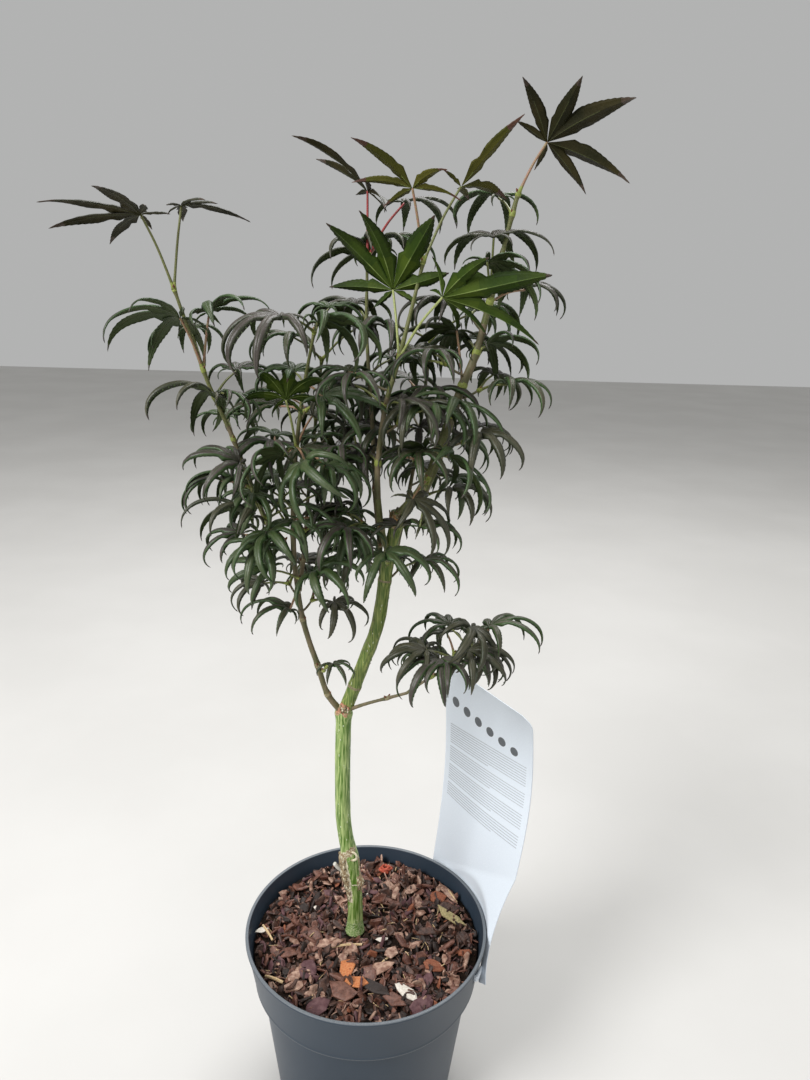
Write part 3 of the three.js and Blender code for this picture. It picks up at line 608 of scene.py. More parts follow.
def lobe(leaves, centre, ahead, left, up, turn, length, form, surfaces, rng, steps):
    """One lobe of a leaf as a closed shell from the stalk's end to its own tip."""
    differ = form["differ"]
    turn = radians(turn + rng.uniform(-TURN_SCATTER, TURN_SCATTER))
    out = ahead * cos(turn) + left * sin(turn)
    side = np.cross(up, out)
    parts = np.linspace(0, 1, steps + 1)
    middles = (parts[1:] + parts[:-1]) / 2
    more_lift, more_curl = rng.uniform(-0.6, 0.6) * differ, rng.uniform(-1, 1.3) * differ
    sway = radians(rng.uniform(-SWAY_SCATTER, SWAY_SCATTER))
    twist = radians(rng.uniform(-TWIST_SCATTER, TWIST_SCATTER) + form.get("twist", 0))

    def slope_at(part):
        bent = form["lift"] - (form["lift"] + form["curl"]) * part
        hook = form["hook"] * np.clip((part - HOOK_START) / (1 - HOOK_START), 0, 1) ** 1.5
        return np.radians(bent + ease(part / 0.35) * (more_lift - more_curl * part) - hook)

    slope = slope_at(middles)
    run = np.concatenate([[0], np.cumsum(np.cos(slope))]) * length / steps
    climb = np.concatenate([[0], np.cumsum(np.sin(slope))]) * length / steps
    bend = slope_at(parts)
    centres = centre + np.outer(run, out) + np.outer(climb, up) + np.outer(sway * length * parts ** 2, side)
    rise = np.outer(np.cos(bend), up) - np.outer(np.sin(bend), out)
    forward = np.outer(np.cos(bend), out) + np.outer(np.sin(bend), up)
    swing = twist * parts[:, None] ** 1.5
    across = side * np.cos(swing) + rise * np.sin(swing)
    rise = rise * np.cos(swing) - side * np.sin(swing)

    rows = np.arange(1, steps)
    width = lobe_width(parts, form)[rows] * length
    toothed = (parts[rows] > form["bay"] + SINUS) & (rows % 2 == 1)
    tooth = np.where(toothed, form["teeth"], -form["teeth"] * NOTCH)
    reach = ACROSS * width[:, None] * (1 + np.outer(tooth, ON_EDGE))
    waving = 1 + WAVE_DEPTH * np.sin(parts[rows] * WAVES + rng.uniform(0, 6))
    roll = form["roll"] * ease(parts[rows] / form["bay"]) * waving
    fold = np.outer(FOLD * width, 4 * OUTWARD * (1 - OUTWARD))
    drop = fold - np.outer(roll * width, OUTWARD ** ROLL_POWER)
    wrinkle = WRINKLE * np.outer([rng.uniform(-1, 1) for _ in rows], ON_RIDGE)
    push = np.outer(toothed * length / steps * TOOTH_LEAN, ON_EDGE)
    points = (centres[rows][:, None] + across[rows][:, None] * reach[..., None]
              + rise[rows][:, None] * (drop + LEVEL + wrinkle)[..., None]
              + forward[rows][:, None] * push[..., None])
    root = centres[0] - rise[0] * THICK / 2
    points = np.vstack([root, points.reshape(-1, 3), centres[-1]])

    tip = len(points) - 1
    faces = []
    slots = []
    for band in range(RING):
        after = (band + 1) % RING
        surface = surfaces["top" if band < LEFT_EDGE else "under"]
        # On top, the rolled edges of the older leaves take a darker tone: painted shade
        if band in EDGE_BANDS and band < LEFT_EDGE:
            surface = surfaces.get("top_shaded_edge", surface)
        faces.append((0, 1 + after, 1 + band))
        for row in range(steps - 2):
            a, b = 1 + row * RING, 1 + (row + 1) * RING
            faces.append((a + band, a + after, b + after, b + band))
        a = 1 + (steps - 2) * RING
        faces.append((a + band, a + after, tip))
        for part in parts[:-1]:
            if part > surfaces["tip_from"]:
                slots.append(surfaces["tip"])
            elif band in VEIN_BANDS and part < surfaces["vein_to"]:
                slots.append(surfaces["top_vein" if band < LEFT_EDGE else "under_vein"])
            elif band in VEIN_BANDS and "vein_far" in surfaces:
                slots.append(surfaces["vein_far"])
            elif band >= LEFT_EDGE and "shades" in surfaces:
                reached = part + 0.08 * sin(5 * turn) + (EDGE_AHEAD if band in EDGE_BANDS else 0)
                slots.append(surfaces["shades"][int(min(max(reached, 0) * 3, 2))])
            else:
                slots.append(surface)
    leaves.add(points, faces, slots)


# The surfaces of a leaf's faces by its look. The older leaves have their own plum, olive or green, lighter
# over the top by a painted sheen, and darker on the top's rolled edges and along the midrib's groove by
# painted shade.
LOOKS = {
    "bright": dict(
        top="fresh_top", under="bright_under", top_vein="vein", under_vein="vein", vein_to=0.4,
        vein_far="far_vein", tip="brown_tip", tip_from=0.9,
        shades=("bright_under", "mid_under", "deep_under")),
    "tipped": dict(
        top="young_top", under="tipped_under", top_vein="dark_vein", under_vein="vein", vein_to=0.2,
        tip="red_tip", tip_from=0.74),
    "dusky": dict(
        top="young_top", under="young_under", top_vein="dark_vein", under_vein="dark_vein", vein_to=0.6,
        tip="brown_tip", tip_from=0.8),
}
for claw_look in ("plum", "plum_green", "olive", "olive_green", "green"):
    claw_lit_top = claw_look.split("_")[0] + "_ridge"
    claw_shaded_edge = "green_edge" if claw_look.endswith("green") else "plum_edge"
    # The midrib's groove on top takes the darker edge tone, painted shade, for most of the lobe
    LOOKS[claw_look] = dict(top=claw_lit_top, top_shaded_edge=claw_shaded_edge, under="claw_under", top_vein=claw_shaded_edge,
                            under_vein="dark_vein", vein_to=0.7, tip="plum_ridge", tip_from=0.9)
# The older leaves are greener on the left than in the rest of the crown
GREEN_SIDE = ("left_crown", "left_skirt", "centre_left_crown", "fork_spray")
GREENER = ["green", "green", "olive_green", "plum_green", "olive"]
DARKER = ["plum", "plum", "plum_green", "olive", "olive_green", "green"]
OLIVE = ["olive", "olive", "olive_green", "plum_green"]
STALK_MIX = ["stalk_green", "stalk_green", "stalk_green", "stalk_pink"]
STALK_FOOT = 3.6
FLARE_REACH = 2.2


def leaf(leaves, stalks, node, row, rng, look, own):
    """A leaf on its stalk, rooted in the stem at a node. What is the leaf's own goes before its kind."""
    turn, rise, stalk, size, kind, face, aim, roll = row
    form = {**KINDS[kind], **own}
    centre = node + direction(turn, rise) * stalk
    middle = (node + centre) / 2 + np.array([0, 0, STALK_ARCH * stalk])
    slot_name = own.get("stalk") or rng.choice(STALK_MIX)

    def radius_at(at, way):
        away = norm(at - node)
        flare = STALK_FLARE * exp(-away / FLARE_REACH)
        return STALK_RADII[0] + (STALK_RADII[1] - STALK_RADII[0]) * away / stalk + flare

    tube(stalks, [node, middle, centre], radius_at,
         lambda at, way: "shoot_node" if norm(at - node) < STALK_FOOT else slot_name, sides=8, step=1.8)
    ahead = direction(face, aim)
    level = unit(np.cross((0.0, 0.0, 1.0), ahead))
    turned = radians(roll)
    left = level * cos(turned) + np.cross(ahead, level) * sin(turned)
    up = np.cross(ahead, left)
    surfaces = LOOKS[look]
    for lobe_turn, part in zip(form.get("turns", LOBE_TURNS), form.get("lengths", LOBE_LENGTHS)):
        length = size * part * (1 + rng.uniform(-LENGTH_SCATTER, LENGTH_SCATTER))
        if not part:
            continue
        steps = LONG_STEPS if part > 0.5 else SHORT_STEPS
        lobe(leaves, centre, ahead, left, up, lobe_turn, length, form, surfaces, rng, steps)


def seeded(seed):
    state = seed
    while True:
        state = (state * 16807) % 2147483647
        yield state / 2147483647


def rear_leaves(rear, draws):
    """The rear leaves of a shoot: one or an opposite pair at each node, turning from node to node."""
    rows = []
    for i, node in enumerate(rear["nodes"]):
        pairs = rear.get("pairs")
        turn = rear["first"] + (PAIR_STEP * i if pairs else REAR_STEP * (i % 2))
        for way in ([turn, turn + 180] if pairs else [turn]):
            scatter = [REAR_SCATTER * (2 * next(draws) - 1) for _ in range(4)]
            face = way + scatter[0]
            rows.append((node, face, rear["rise"] + scatter[1], rear["stalk"] + scatter[2] / 2,
                         rear["lobe"] + scatter[3] / 3, "claw", face, 0, 0))
    return rows


BUD_RISE = 55
BUD_FROM, BUD_MIDDLE, BUD_TO = 1.2, 2.2, 3.4
BUD_RADIUS = 0.75
BUD_POINT = 0.15
NODE_REACH = 2.6
NODE_SWELLING = 0.55


def bud(stalks, node, turn):
    """A small pointed bud at a node."""
    out = direction(turn, BUD_RISE)
    path = [node + out * reach for reach in (BUD_FROM, BUD_MIDDLE, BUD_TO)]

    def radius_at(at, way):
        return BUD_POINT + BUD_RADIUS * sqrt(min(norm(path[-1] - at) / (BUD_TO - BUD_FROM), 1))

    tube(stalks, path, radius_at, plain("bud"), sides=6, step=0.5)


# Short side twigs with a pair of leaves at the end, which fill the crown: for each mass, where they start on
# a limb, the turn that they would take, and the length of their leaves. A twig takes the first of a few
# seeded turns at which nothing of it touches a limb, and is skipped if there is none.
TWIGS = {
    "left_crown": [((-59, -5, 466), 200, 50), ((-64, -7, 474), 60, 48), ((-72, -8, 500), 250, 46),
                   ((-78, -8, 520), 40, 48)],
    "centre_left_crown": [((-53, -2, 470), 320, 50), ((-53, -2, 482), 120, 50), ((-51, -4, 515), 20, 50),
                          ((-47, -7, 550), 70, 48)],
    "left_skirt": [((-49, 0, 414), 20, 44), ((-50, -1, 425), 150, 46)],
    "centre_crown": [((8, -8, 474), 200, 50), ((5, -14, 492), 330, 48), ((4, -18, 514), 150, 50),
                     ((6, -21, 545), 20, 50), ((10, -22, 572), 190, 46)],
    "inner_crown": [((6, 4, 445), 150, 50), ((4, 9, 470), 200, 50), ((3, 9, 490), 20, 50),
                    ((0, 9, 518), 170, 50), ((-1, 9, 538), 40, 50)],
    "right_crown": [((49, -1, 552), 190, 50), ((54, 1, 565), 20, 50), ((59, 1, 580), 200, 48),
                    ((68, 3, 608), 125, 46)],
    "right_skirt": [((24, -4, 494), 40, 50), ((38, -4, 517), 200, 50), ((44, -3, 534), 350, 50),
                    ((15, -3, 470), 20, 46)],
    "centre_skirt": [((10, -2, 440), 20, 44)],
    "low_spray": [((47, -11, 374), 330, 40), ((60, -11, 383), 262, 44), ((50, -11, 377), 40, 44)],
    "back_left_crown": [((-47, 28, 490), 130, 48), ((-44, 35, 525), 40, 48)],
    "back_right_crown": [((25, 30, 500), 30, 48), ((31, 37, 540), 120, 48)],
}
TWIG_RADIUS = 0.8
TWIG_SCATTER = 22
TWIG_RISE = (15, 45)
TWIG_LENGTH = (10, 17)
TWIG_SAG = 0.8
TWIG_TRIES = 8
# Its two leaves: how far each turns from it, the rise and length of the stalk, size, aim and roll
PAIR_SPREAD = (45, 75)
PAIR_RISE = (0, 35)
PAIR_STALK = (16, 26)
PAIR_SIZE = (0.92, 1.08)
PAIR_AIM = (-20, 5)
PAIR_ROLL = (-15, 15)
LIMB_CLEARANCE = 0.7
ROOT_REACH = 6
CHECK_EVERY = 4


def limb_places():
    """Points along every limb and stem, with the radius there."""
    places = [(path, radii) for path, radii, _ in LIMBS.values()]
    places += [(shoot["stem"], shoot["radii"]) for shoot in SHOOTS.values()]
    parts = np.linspace(0, 1, 60)
    points, reaches = [], []
    for path, radii in places:
        points.append(spline(path, parts)[0])
        reaches.append(radii[0] + (radii[1] - radii[0]) * parts)
    return np.concatenate(points), np.concatenate(reaches)


LIMB_POINTS, LIMB_REACHES = limb_places()


def touches_limb(points, root, root_reach):
    """Whether any point lies in or against a limb, away from the root that they grow from."""
    points = points[norm(points - root, axis=1) > root_reach]
    gaps = norm(points[:, None] - LIMB_POINTS[None], axis=2) - LIMB_REACHES[None]
    return gaps.min() < LIMB_CLEARANCE


def build_twigs(name, leaves, stalks, looks):
    rng = random.Random(name + " twigs")
    for start, turn, size in TWIGS.get(name, []):
        start = np.array(start, float)
        for _ in range(TWIG_TRIES):
            way = turn + rng.uniform(-TWIG_SCATTER, TWIG_SCATTER)
            rise = rng.uniform(*TWIG_RISE)
            end = start + direction(way, rise) * rng.uniform(*TWIG_LENGTH)
            trial, trial_stalks = Solid(), Solid()
            path = [start, (start + end) / 2 - (0, 0, TWIG_SAG), end]
            tube(trial_stalks, path, even(TWIG_RADIUS), plain("shoot_bark"), sides=8, step=1.5)
            for side in (-1, 1):
                face = way + side * rng.uniform(*PAIR_SPREAD)
                row = (face, rng.uniform(*PAIR_RISE), rng.uniform(*PAIR_STALK),
                       size * rng.uniform(*PAIR_SIZE), "claw", face, rng.uniform(*PAIR_AIM),
                       rng.uniform(*PAIR_ROLL))
                leaf(trial, trial_stalks, end, row, rng, rng.choice(looks), {})
            if not touches_limb(np.concatenate(trial.points)[::CHECK_EVERY], start, ROOT_REACH):
                for whole, part in ((leaves, trial), (stalks, trial_stalks)):
                    whole.add(np.concatenate(part.points), part.faces, part.slots)
                bud(stalks, end, way)
                break


def build_shoot(name, shoot, draws):
    """The stem with its swollen nodes and buds, and every leaf on it, as two pieces."""
    rng = random.Random(name)
    leaves, stalks = Solid(), Solid()
    nodes = [np.array(point, float) for point in shoot["stem"]]
    body = tapering(shoot["stem"], shoot["radii"])
    young_from = nodes[0][2] + 0.45 * (nodes[-1][2] - nodes[0][2])

    def radius_at(centre, way):
        return body(centre, way) + NODE_SWELLING * swelling(centre, nodes[1:], NODE_REACH)

    def slot_at(centre, way):
        if swelling(centre, nodes[1:], NODE_REACH) > 0.62 + 0.3 * uneven(*(way * 2 + centre * 0.1)):
            return "shoot_node"
        return "shoot_green" if centre[2] > young_from else "shoot_bark"

    tube(stalks, shoot["stem"], radius_at, slot_at, sides=14, step=0.9, relief=0.16, grain=(1.4, 0.2))
    looks = GREENER if name in GREEN_SIDE else OLIVE if name == "low_spray" else DARKER
    rows = list(shoot["leaves"])
    if "rear" in shoot:
        rows += rear_leaves(shoot["rear"], draws)
    for node, *row in rows:
        own = row.pop() if isinstance(row[-1], dict) else {}
        leaf(leaves, stalks, nodes[node], row, rng, own.get("look") or rng.choice(looks), own)
    build_twigs(name, leaves, stalks, looks)
    for node in nodes[1:]:
        turn = rng.uniform(0, 180)
        bud(stalks, node, turn)
        bud(stalks, node, turn + 180)
    leaves.build(name + "_leaves", name, "foliage")
    stalks.build(name + "_stems", name, "foliage")


def flake(solid, at, out, rng, slot_name, size, long=1.5):
    """A small raised plate of bark, upright on the surface that faces out."""
    along = unit(np.array([rng.uniform(-0.3, 0.3), rng.uniform(-0.3, 0.3), 1.0]))
    across = unit(np.cross(out, along))
    lift = unit(np.cross(along, across) + 0.4 * across * rng.uniform(-1, 1))
    corners = 6
    ring = []
    for i in range(corners):
        turn = 2 * pi * (i + rng.uniform(-0.3, 0.3)) / corners
        ring.append(at + along * cos(turn) * size * long + across * sin(turn) * size / long)
    points = [spot + lift * size * 0.3 for spot in ring] + [spot - lift * size * 0.3 for spot in ring]
    solid.add(points, plate_faces(corners), slot_name)


# The graft: a corky wedge down the left side with a pale seam, a corky knob and strip on the right, a pale
# ring where a bud was cut away, and a dry stub. Over it the trunk's domed top, with a scar at the fork.
WEDGE_TOP = 213
WEDGE_FOOT = 168
SEAM_TURN = 247
KNOB_HEIGHT = 186
KNOB_TURN = -25
RING_PLACE = (-11.6, -1.2, 213)
STUB = [(-19, 3, 196), (-23, 0.5, 201), (-25.6, -0.5, 205.5)]
DOME_FROM = 332
DOME_TOP = 338.5
FRONT_TURN = 265
SCAR_KNOB = [(-19.5, 3.5, 334), (-19.2, 1.4, 339), (-18.8, 0.6, 342.5)]
BLOOM_TOP = 147
FLARE_HEIGHT = 7
WEDGE_SWELLING = 2.6
WEDGE_MIDDLE = 194
WEDGE_REACH = 17
KNOB_SWELLING = 3.0
KNOB_HALF = 5
KNOB_REACH = 34
FORK_REACH = 6
SEAM_HALF = 8
STRIP = (176, 208)
KNOB_SEAM = 185.4
CUT_MARK = 214.5
# How many small plates of bark lie on each part of the trunk, and what they are mixed from
WEDGE_FLAKES = 110
KNOB_FLAKES = 26
SCAR_FLAKES = 46
LENTICELS = 150
CORK_MIX = ["graft_tan", "graft_tan", "graft_pale"]
SCAR_MIX = ["scar_pink", "graft_tan", "graft_pale"]


def angle_from(way, turn):
    """How far a way round the trunk lies from a turn, in degrees."""
    return abs((degrees(atan2(way[1], way[0])) - turn + 180) % 360 - 180)


def in_wedge(centre, way):
    """How deep inside the corky wedge a place is: over 0 inside."""
    down = (WEDGE_TOP - centre[2]) / (WEDGE_TOP - WEDGE_FOOT)
    if not 0 < down < 1:
        return -1
    turn = degrees(atan2(way[1], way[0])) % 360
    ragged = 5 * uneven(centre[2] * 0.35, 3, 0)
    start = 150 + 60 * down ** 2
    return min((SEAM_TURN - turn + ragged) / 40, (turn - start) / 40)


def trunk_radius(centre, way):
    z = centre[2]
    radius = TRUNK_RADIUS + ROOT_FLARE * exp(-(z - MULCH_HEIGHT) / FLARE_HEIGHT)
    radius += (GRAFT_SWELLING - 0.9) * bump(z - GRAFT_HEIGHT, GRAFT_REACH)
    wedge = float(ease(in_wedge(centre, way) * 1.6 + 0.1))
    radius += WEDGE_SWELLING * wedge * bump(z - WEDGE_MIDDLE, WEDGE_REACH)
    knob = bump(z - KNOB_HEIGHT, KNOB_HALF) * bump(angle_from(way, KNOB_TURN), KNOB_REACH)
    radius += KNOB_SWELLING * knob
    radius += FORK_SWELLING * bump(z - TRUNK_PATH[-1][2], FORK_REACH)
    if z > DOME_FROM:
        radius *= sqrt(max(0.02, 1 - ((z - DOME_FROM) / (DOME_TOP - DOME_FROM)) ** 2))
    return radius + 0.16 * uneven(way[0] * 7, way[1] * 7, z * 0.03)


def trunk_slot(centre, way):
    z = centre[2]
    fine = uneven(way[0] * 6, way[1] * 6, z * 0.8)
    ragged = uneven(way[0] * 2.5, way[1] * 2.5, z * 0.25)
    wedge = in_wedge(centre, way)
    seam = angle_from(way, SEAM_TURN + 5 * uneven(z * 0.35, 3, 0))
    if WEDGE_FOOT < z < WEDGE_TOP - 3 and seam < SEAM_HALF:
        return "graft_pale"
    if wedge > 0:
        return "graft_pale" if fine > 0.42 else "graft_tan"
    if abs(z - KNOB_HEIGHT) < 7 + 3 * ragged and angle_from(way, KNOB_TURN) < KNOB_REACH:
        return "graft_tan"
    if STRIP[0] < z < STRIP[1] and angle_from(way, KNOB_TURN + 8) < 11 + 8 * ragged:
        return "graft_pale" if fine > 0.2 else "graft_tan"
    if abs(z - KNOB_SEAM) < 0.5 and angle_from(way, 290) < 45 and ragged > -0.25:
        return "graft_pale"
    if abs(z - CUT_MARK - 2.5 * way[0]) < 2.6 + 2.5 * ragged and angle_from(way, 255) < 80:
        return "graft_pale" if fine > 0.1 else "graft_tan"
    if z > DOME_FROM + 2 + 3 * ragged and angle_from(way, FRONT_TURN) < 75:
        return "scar_pink" if fine > 0 else "graft_tan"
    if z < BLOOM_TOP + 6 * ragged:
        return "trunk_bloom"
    return "trunk_green"


def trunk_place(z, turn):
    """A spot on the trunk's surface and the way out of it."""
    centres, _ = spline(TRUNK_PATH, np.linspace(0, 1, 200))
    centre = centres[np.argmin(np.abs(centres[:, 2] - z))]
    out = direction(turn, 0)
    return centre + out * trunk_radius(centre, out), out


def build_trunk():
    solid = Solid()
    rng = random.Random("trunk")
    path = [*TRUNK_PATH[:-1], (TRUNK_PATH[-1][0], TRUNK_PATH[-1][1], DOME_TOP)]
    tube(solid, path, trunk_radius, trunk_slot, sides=72, step=0.6, relief=0.25)
    tube(solid, STUB, even(1.5), plain("dead_wood"), sides=12, step=0.6, relief=0.5)
    turns = np.linspace(0, 2 * pi, 14)
    ring = [np.add(RING_PLACE, (3.4 * cos(t), -0.9 * cos(t), 3.6 * sin(t))) for t in turns]
    tube(solid, ring, even(0.95),
         lambda centre, way: "graft_pale" if centre[0] > RING_PLACE[0] else "graft_tan",
         sides=10, step=0.6, relief=0.5)
    for _ in range(WEDGE_FLAKES):
        z = rng.uniform(WEDGE_FOOT + 3, WEDGE_TOP - 2)
        at, out = trunk_place(z, rng.uniform(170, SEAM_TURN - 4))
        flake(solid, at, out, rng, rng.choice(CORK_MIX), rng.uniform(0.7, 1.5))
    for _ in range(KNOB_FLAKES):
        z = rng.uniform(KNOB_HEIGHT - KNOB_HALF, KNOB_HEIGHT + KNOB_HALF)
        at, out = trunk_place(z, KNOB_TURN + rng.uniform(-32, 26))
        flake(solid, at, out, rng, rng.choice(["graft_tan", "graft_pale"]), rng.uniform(0.6, 1.3))
    for _ in range(LENTICELS):
        at, out = trunk_place(rng.uniform(MULCH_HEIGHT + 4, DOME_FROM), rng.uniform(0, 360))
        flake(solid, at - out * 0.12, out, rng, "lenticel", rng.uniform(0.25, 0.6), rng.uniform(1.2, 2.4))
    tube(solid, SCAR_KNOB, even(2.7), lambda centre, way: "scar_pink" if way[2] > -0.2 else "graft_tan",
         sides=16, step=0.6, relief=0.9, grain=(1.2, 0.4))
    knob = np.array(SCAR_KNOB[1])
    for _ in range(SCAR_FLAKES):
        out = direction(rng.uniform(180, 350), rng.uniform(-25, 45))
        at = knob + out * rng.uniform(2.4, 4.6)
        flake(solid, at, out, rng, rng.choice(SCAR_MIX), rng.uniform(0.6, 1.3), 1.1)
    solid.build("trunk_bark", "trunk", "green_bark")


# Real nodes along the limbs, and the rough knot where the leader was cut back
LIMB_NODES = {
    "main_leader": [(-12, 3, 356), (10, -2, 440)],
    "left_stem": [(-31, 4, 349), (-38, 2, 373), (-48, 0, 409)],
    "low_twig": [(12.5, -4, 351)],
    "right_bough": [(34, -4, 507), (42, -4, 527)],
    "centre_bough": [(6.5, -11, 480)],
    "inner_bough": [(5, 8, 462), (1, 9, 502)],
    "left_bough": [(-60, -6, 468)],
    "centre_left_bough": [(-53.5, -2, 472)],
}
KNOT = np.array([17.0, -4, 485])
KNOT_REACH = 7
KNOT_SWELLING = 1.3
KNOT_FLAKES = 70
KNOT_MIX = ["knot_orange", "old_node", "graft_tan"]
LEADER_FLAKES = 70
FOOT_FLARE = {"main_leader": 0.1, "left_stem": 0.5, "low_twig": 0.4}
GREEN_BOUGHS = ("centre_bough", "right_bough")


def build_limb(name, path, radii, bark):
    solid = Solid()
    rng = random.Random(name)
    thick = bark == "leader"
    nodes = [np.array(point, float) for point in LIMB_NODES.get(name, path[1:2])]
    body = tapering(path, radii)
    foot = np.array(path[0], float)
    young = "leader_bark" if thick else "shoot_green" if name in GREEN_BOUGHS else "shoot_bark"

    def radius_at(centre, way):
        root = FOOT_FLARE.get(name, 0) * radii[0] * exp(-norm(centre - foot) / FLARE_HEIGHT)
        knot = KNOT_SWELLING * swelling(centre, [KNOT], KNOT_REACH) if thick else 0
        return body(centre, way) + 0.5 * swelling(centre, nodes, NODE_REACH) + root + knot

    def slot_at(centre, way):
        rough = uneven(way[0] * 3, way[1] * 3, centre[2] * 0.3)
        if swelling(centre, [KNOT], KNOT_REACH) > 0.75 + 0.5 * rough:
            return "knot_orange" if rough > 0 else "old_node"
        return "old_node" if swelling(centre, nodes, 1.9) > 0.6 else young

    tube(solid, path, radius_at, slot_at, sides=36 if thick else 16, step=0.7, relief=0.5 if thick else 0.2,
         grain=(0.7, 0.08))
    for node in [] if thick else nodes:
        turn = rng.uniform(0, 180)
        bud(solid, node + direction(turn, 0) * radii[1] * 0.6, turn)
        bud(solid, node - direction(turn, 0) * radii[1] * 0.6, turn + 180)
    if thick:
        for _ in range(KNOT_FLAKES):
            out = direction(rng.uniform(0, 360), 10)
            at = KNOT + out * 5.3 + np.array([0, 0, rng.uniform(-5, 5)])
            flake(solid, at, out, rng, rng.choice(KNOT_MIX), rng.uniform(0.7, 1.5), 1.1)
        for _ in range(LEADER_FLAKES):
            part = rng.uniform(0.05, 0.9)
            centres, ways = spline(path, [part])
            out = direction(rng.uniform(0, 360), 0)
            out = unit(out - ways[0] * (out @ ways[0]))
            at = centres[0] + out * (body(centres[0], out) + 0.05)
            flake(solid, at, out, rng, rng.choice(["lenticel", "old_node"]), rng.uniform(0.3, 0.7), 2.0)
    solid.build(name + "_bark", name, "green_bark" if thick else "shoot_bark")


# The mulch: a rough bed of soil, and the chips that lie on it
CHIP_KINDS = {"bark_red": 36, "bark_brown": 26, "bark_dark": 12, "bark_tan": 15, "bark_plum": 10,
              "bark_brick": 1, "bark_orange": 0.2, "white_bit": 0.35}
# Chips low in the bed take darker kinds: painted shade in the gaps under the chips above
LOW_SHADED_KINDS = {"bark_dark": 6, "bark_brown": 3, "bark_red": 1}
BRIGHT_BITS = ("white_bit", "bark_orange")
BRIGHT_SIZE = 2.2
# A chip's edge from its lower to its upper side: how high, as a part of its thickness, and how far in
CHIP_EDGE = ((-0.5, 0.82), (-0.15, 1.0), (0.2, 0.98), (0.5, 0.8))
CHIP_LAYERS = (-1.2, 2.8)
CHIP_SIZES = (1.18, 0.42)
CHIP_LEAST, CHIP_MOST = 1.6, 7.5
CRUMB_SIZES = (0.7, 1.4)
DEEP_LAYER = 0.3
CHIPS = 2300
CRUMBS = 700
STRAWS = 120
BED_GAP = 0.6


def ground_height(x, y):
    bumps = 2.0 * uneven(x * 0.035, y * 0.035, 0) + 1.0 * uneven(x * 0.12, y * 0.12, 5)
    return MULCH_HEIGHT - 1.5 + bumps + MULCH_CLIMB * y / MULCH_EDGE


def build_bed():
    bed = Solid()
    sides, rings = 96, 40
    points = [(0, 0, ground_height(0, 0))]
    profile = [(MULCH_EDGE * ring / rings, None) for ring in range(1, rings + 1)]
    profile.append((COLLAR_FOOT_RADIUS - WALL - BED_GAP, COLLAR_FOOT_HEIGHT + 2))
    profile.append((BODY_TOP_RADIUS - WALL - BED_GAP, COLLAR_FOOT_HEIGHT - 3))
    profile.append((BODY_FOOT_RADIUS - WALL - BED_GAP, FLOOR + 0.4))
    for radius, height in profile:
        for x, y in around(radius, sides):
            points.append((x, y, ground_height(x, y) if height is None else height))
    points.append((0, 0, FLOOR + 0.4))
    faces = [flipped(face) for face in turned_faces(sides, len(profile))]
    bed.add(points, faces, "soil")
    bed.build("mulch_bed", "mulch", "mulch")


def chip(solid, at, size, slot_name, rng, long=None, flat=None, spin=None, lean=0.7):
    """A broken plate of bark: an uneven outline with thickness, a bevel and a slight cup."""
    corners = rng.choice([5, 6, 6, 7, 8])
    long = long or rng.uniform(1.0, 1.5)
    thick = size * (flat or rng.uniform(0.2, 0.42))
    spin = Matrix.Rotation(rng.uniform(0, 2 * pi) if spin is None else radians(spin), 3, "Z")
    tilt = Matrix.Rotation(rng.gauss(0, lean), 3, "X") @ Matrix.Rotation(rng.gauss(0, lean), 3, "Y")
    turned = np.array(tilt @ spin)
    cup = rng.uniform(-0.25, 0.25)
    outline = [(2 * pi * (i + rng.uniform(-0.25, 0.25)) / corners, rng.uniform(0.75, 1.1))
               for i in range(corners)]
    points = []
    for level, shrink in CHIP_EDGE:
        for angle, reach in outline:
            spread = size * reach * shrink
            x, y = cos(angle) * spread * long, sin(angle) * spread / long
            z = level * thick * rng.uniform(0.85, 1.15) + cup * size * (cos(angle) ** 2) * reach
            points.append((x, y, z))
    faces = [tuple(range(corners - 1, -1, -1)), tuple(range(3 * corners, 4 * corners))]
    faces += ring_faces(0, 3 * corners, corners)
    solid.add(np.array(points) @ turned.T + at, faces, slot_name)


# Bits that stand out in the mulch: place, size, how long, turn and surface
LARGE_BITS = [
    (67.6, 20, 7.6, 1.75, -43, "bark_khaki"), (-12.5, -34, 7.6, 1.25, 80, "bark_orange"),
    (-6, -47, 6.8, 1.3, -15, "bark_orange"), (-32, -68, 7.5, 1.1, 20, "bark_plum"),
    (-14, -57, 8.5, 1.3, -40, "bark_red"), (-42, -36, 7.5, 1.15, 70, "bark_plum"),
    (33, -55, 7, 1.5, -35, "white_bit"), (12, -33, 7, 1.5, 15, "bark_tan"),
    (57.7, 42, 6.5, 1.05, 0, "bark_brick"), (37, 51, 6.5, 1.3, 40, "bark_tan"),
    (22, 44, 5, 1.5, 80, "bark_tan"), (42, -66, 7, 1.3, 30, "bark_plum"),
    (53, -29, 7.5, 1.1, 0, "bark_brick"), (9, -50, 9, 1.5, -30, "bark_dark"),
    (-84, 1, 4, 1.2, 40, "white_bit"), (68, 46, 7, 2.0, -60, "bark_tan"), (-30, -10, 8, 1.4, 5, "bark_tan"),
    (24, -60, 7, 1.3, -40, "bark_red"), (-60, -20, 7, 1.2, 30, "bark_red"),
    (-52, -42, 5, 1.2, 60, "bark_tan"), (12.6, -6, 3.4, 1.6, 10, "white_bit"),
    (20, -18, 5.5, 1.2, 60, "bark_tan"), (50, 5, 7, 1.4, 20, "bark_brown"),
]
LARGE_LIFT = 4.6
LARGE_SCALE = 1.15
LARGE_FLATNESS = 0.22
STRAW_REACH = 80
STRAW_CLEAR = 14
STICK_ARCH = 0.8
CURL_PLACE = (13, 72)
STRAW_STICKS = [((-26.5, -12.8), (-3.1, -9.9), 1.0), ((-74, -42), (-60, -47), 1.2),
                ((-84, 6), (-74, -8), 0.9), ((66, 54), (74, 36), 1.0), ((18, -22), (12, -30), 0.8),
                ((-10, 70), (-24, 62), 0.6)]


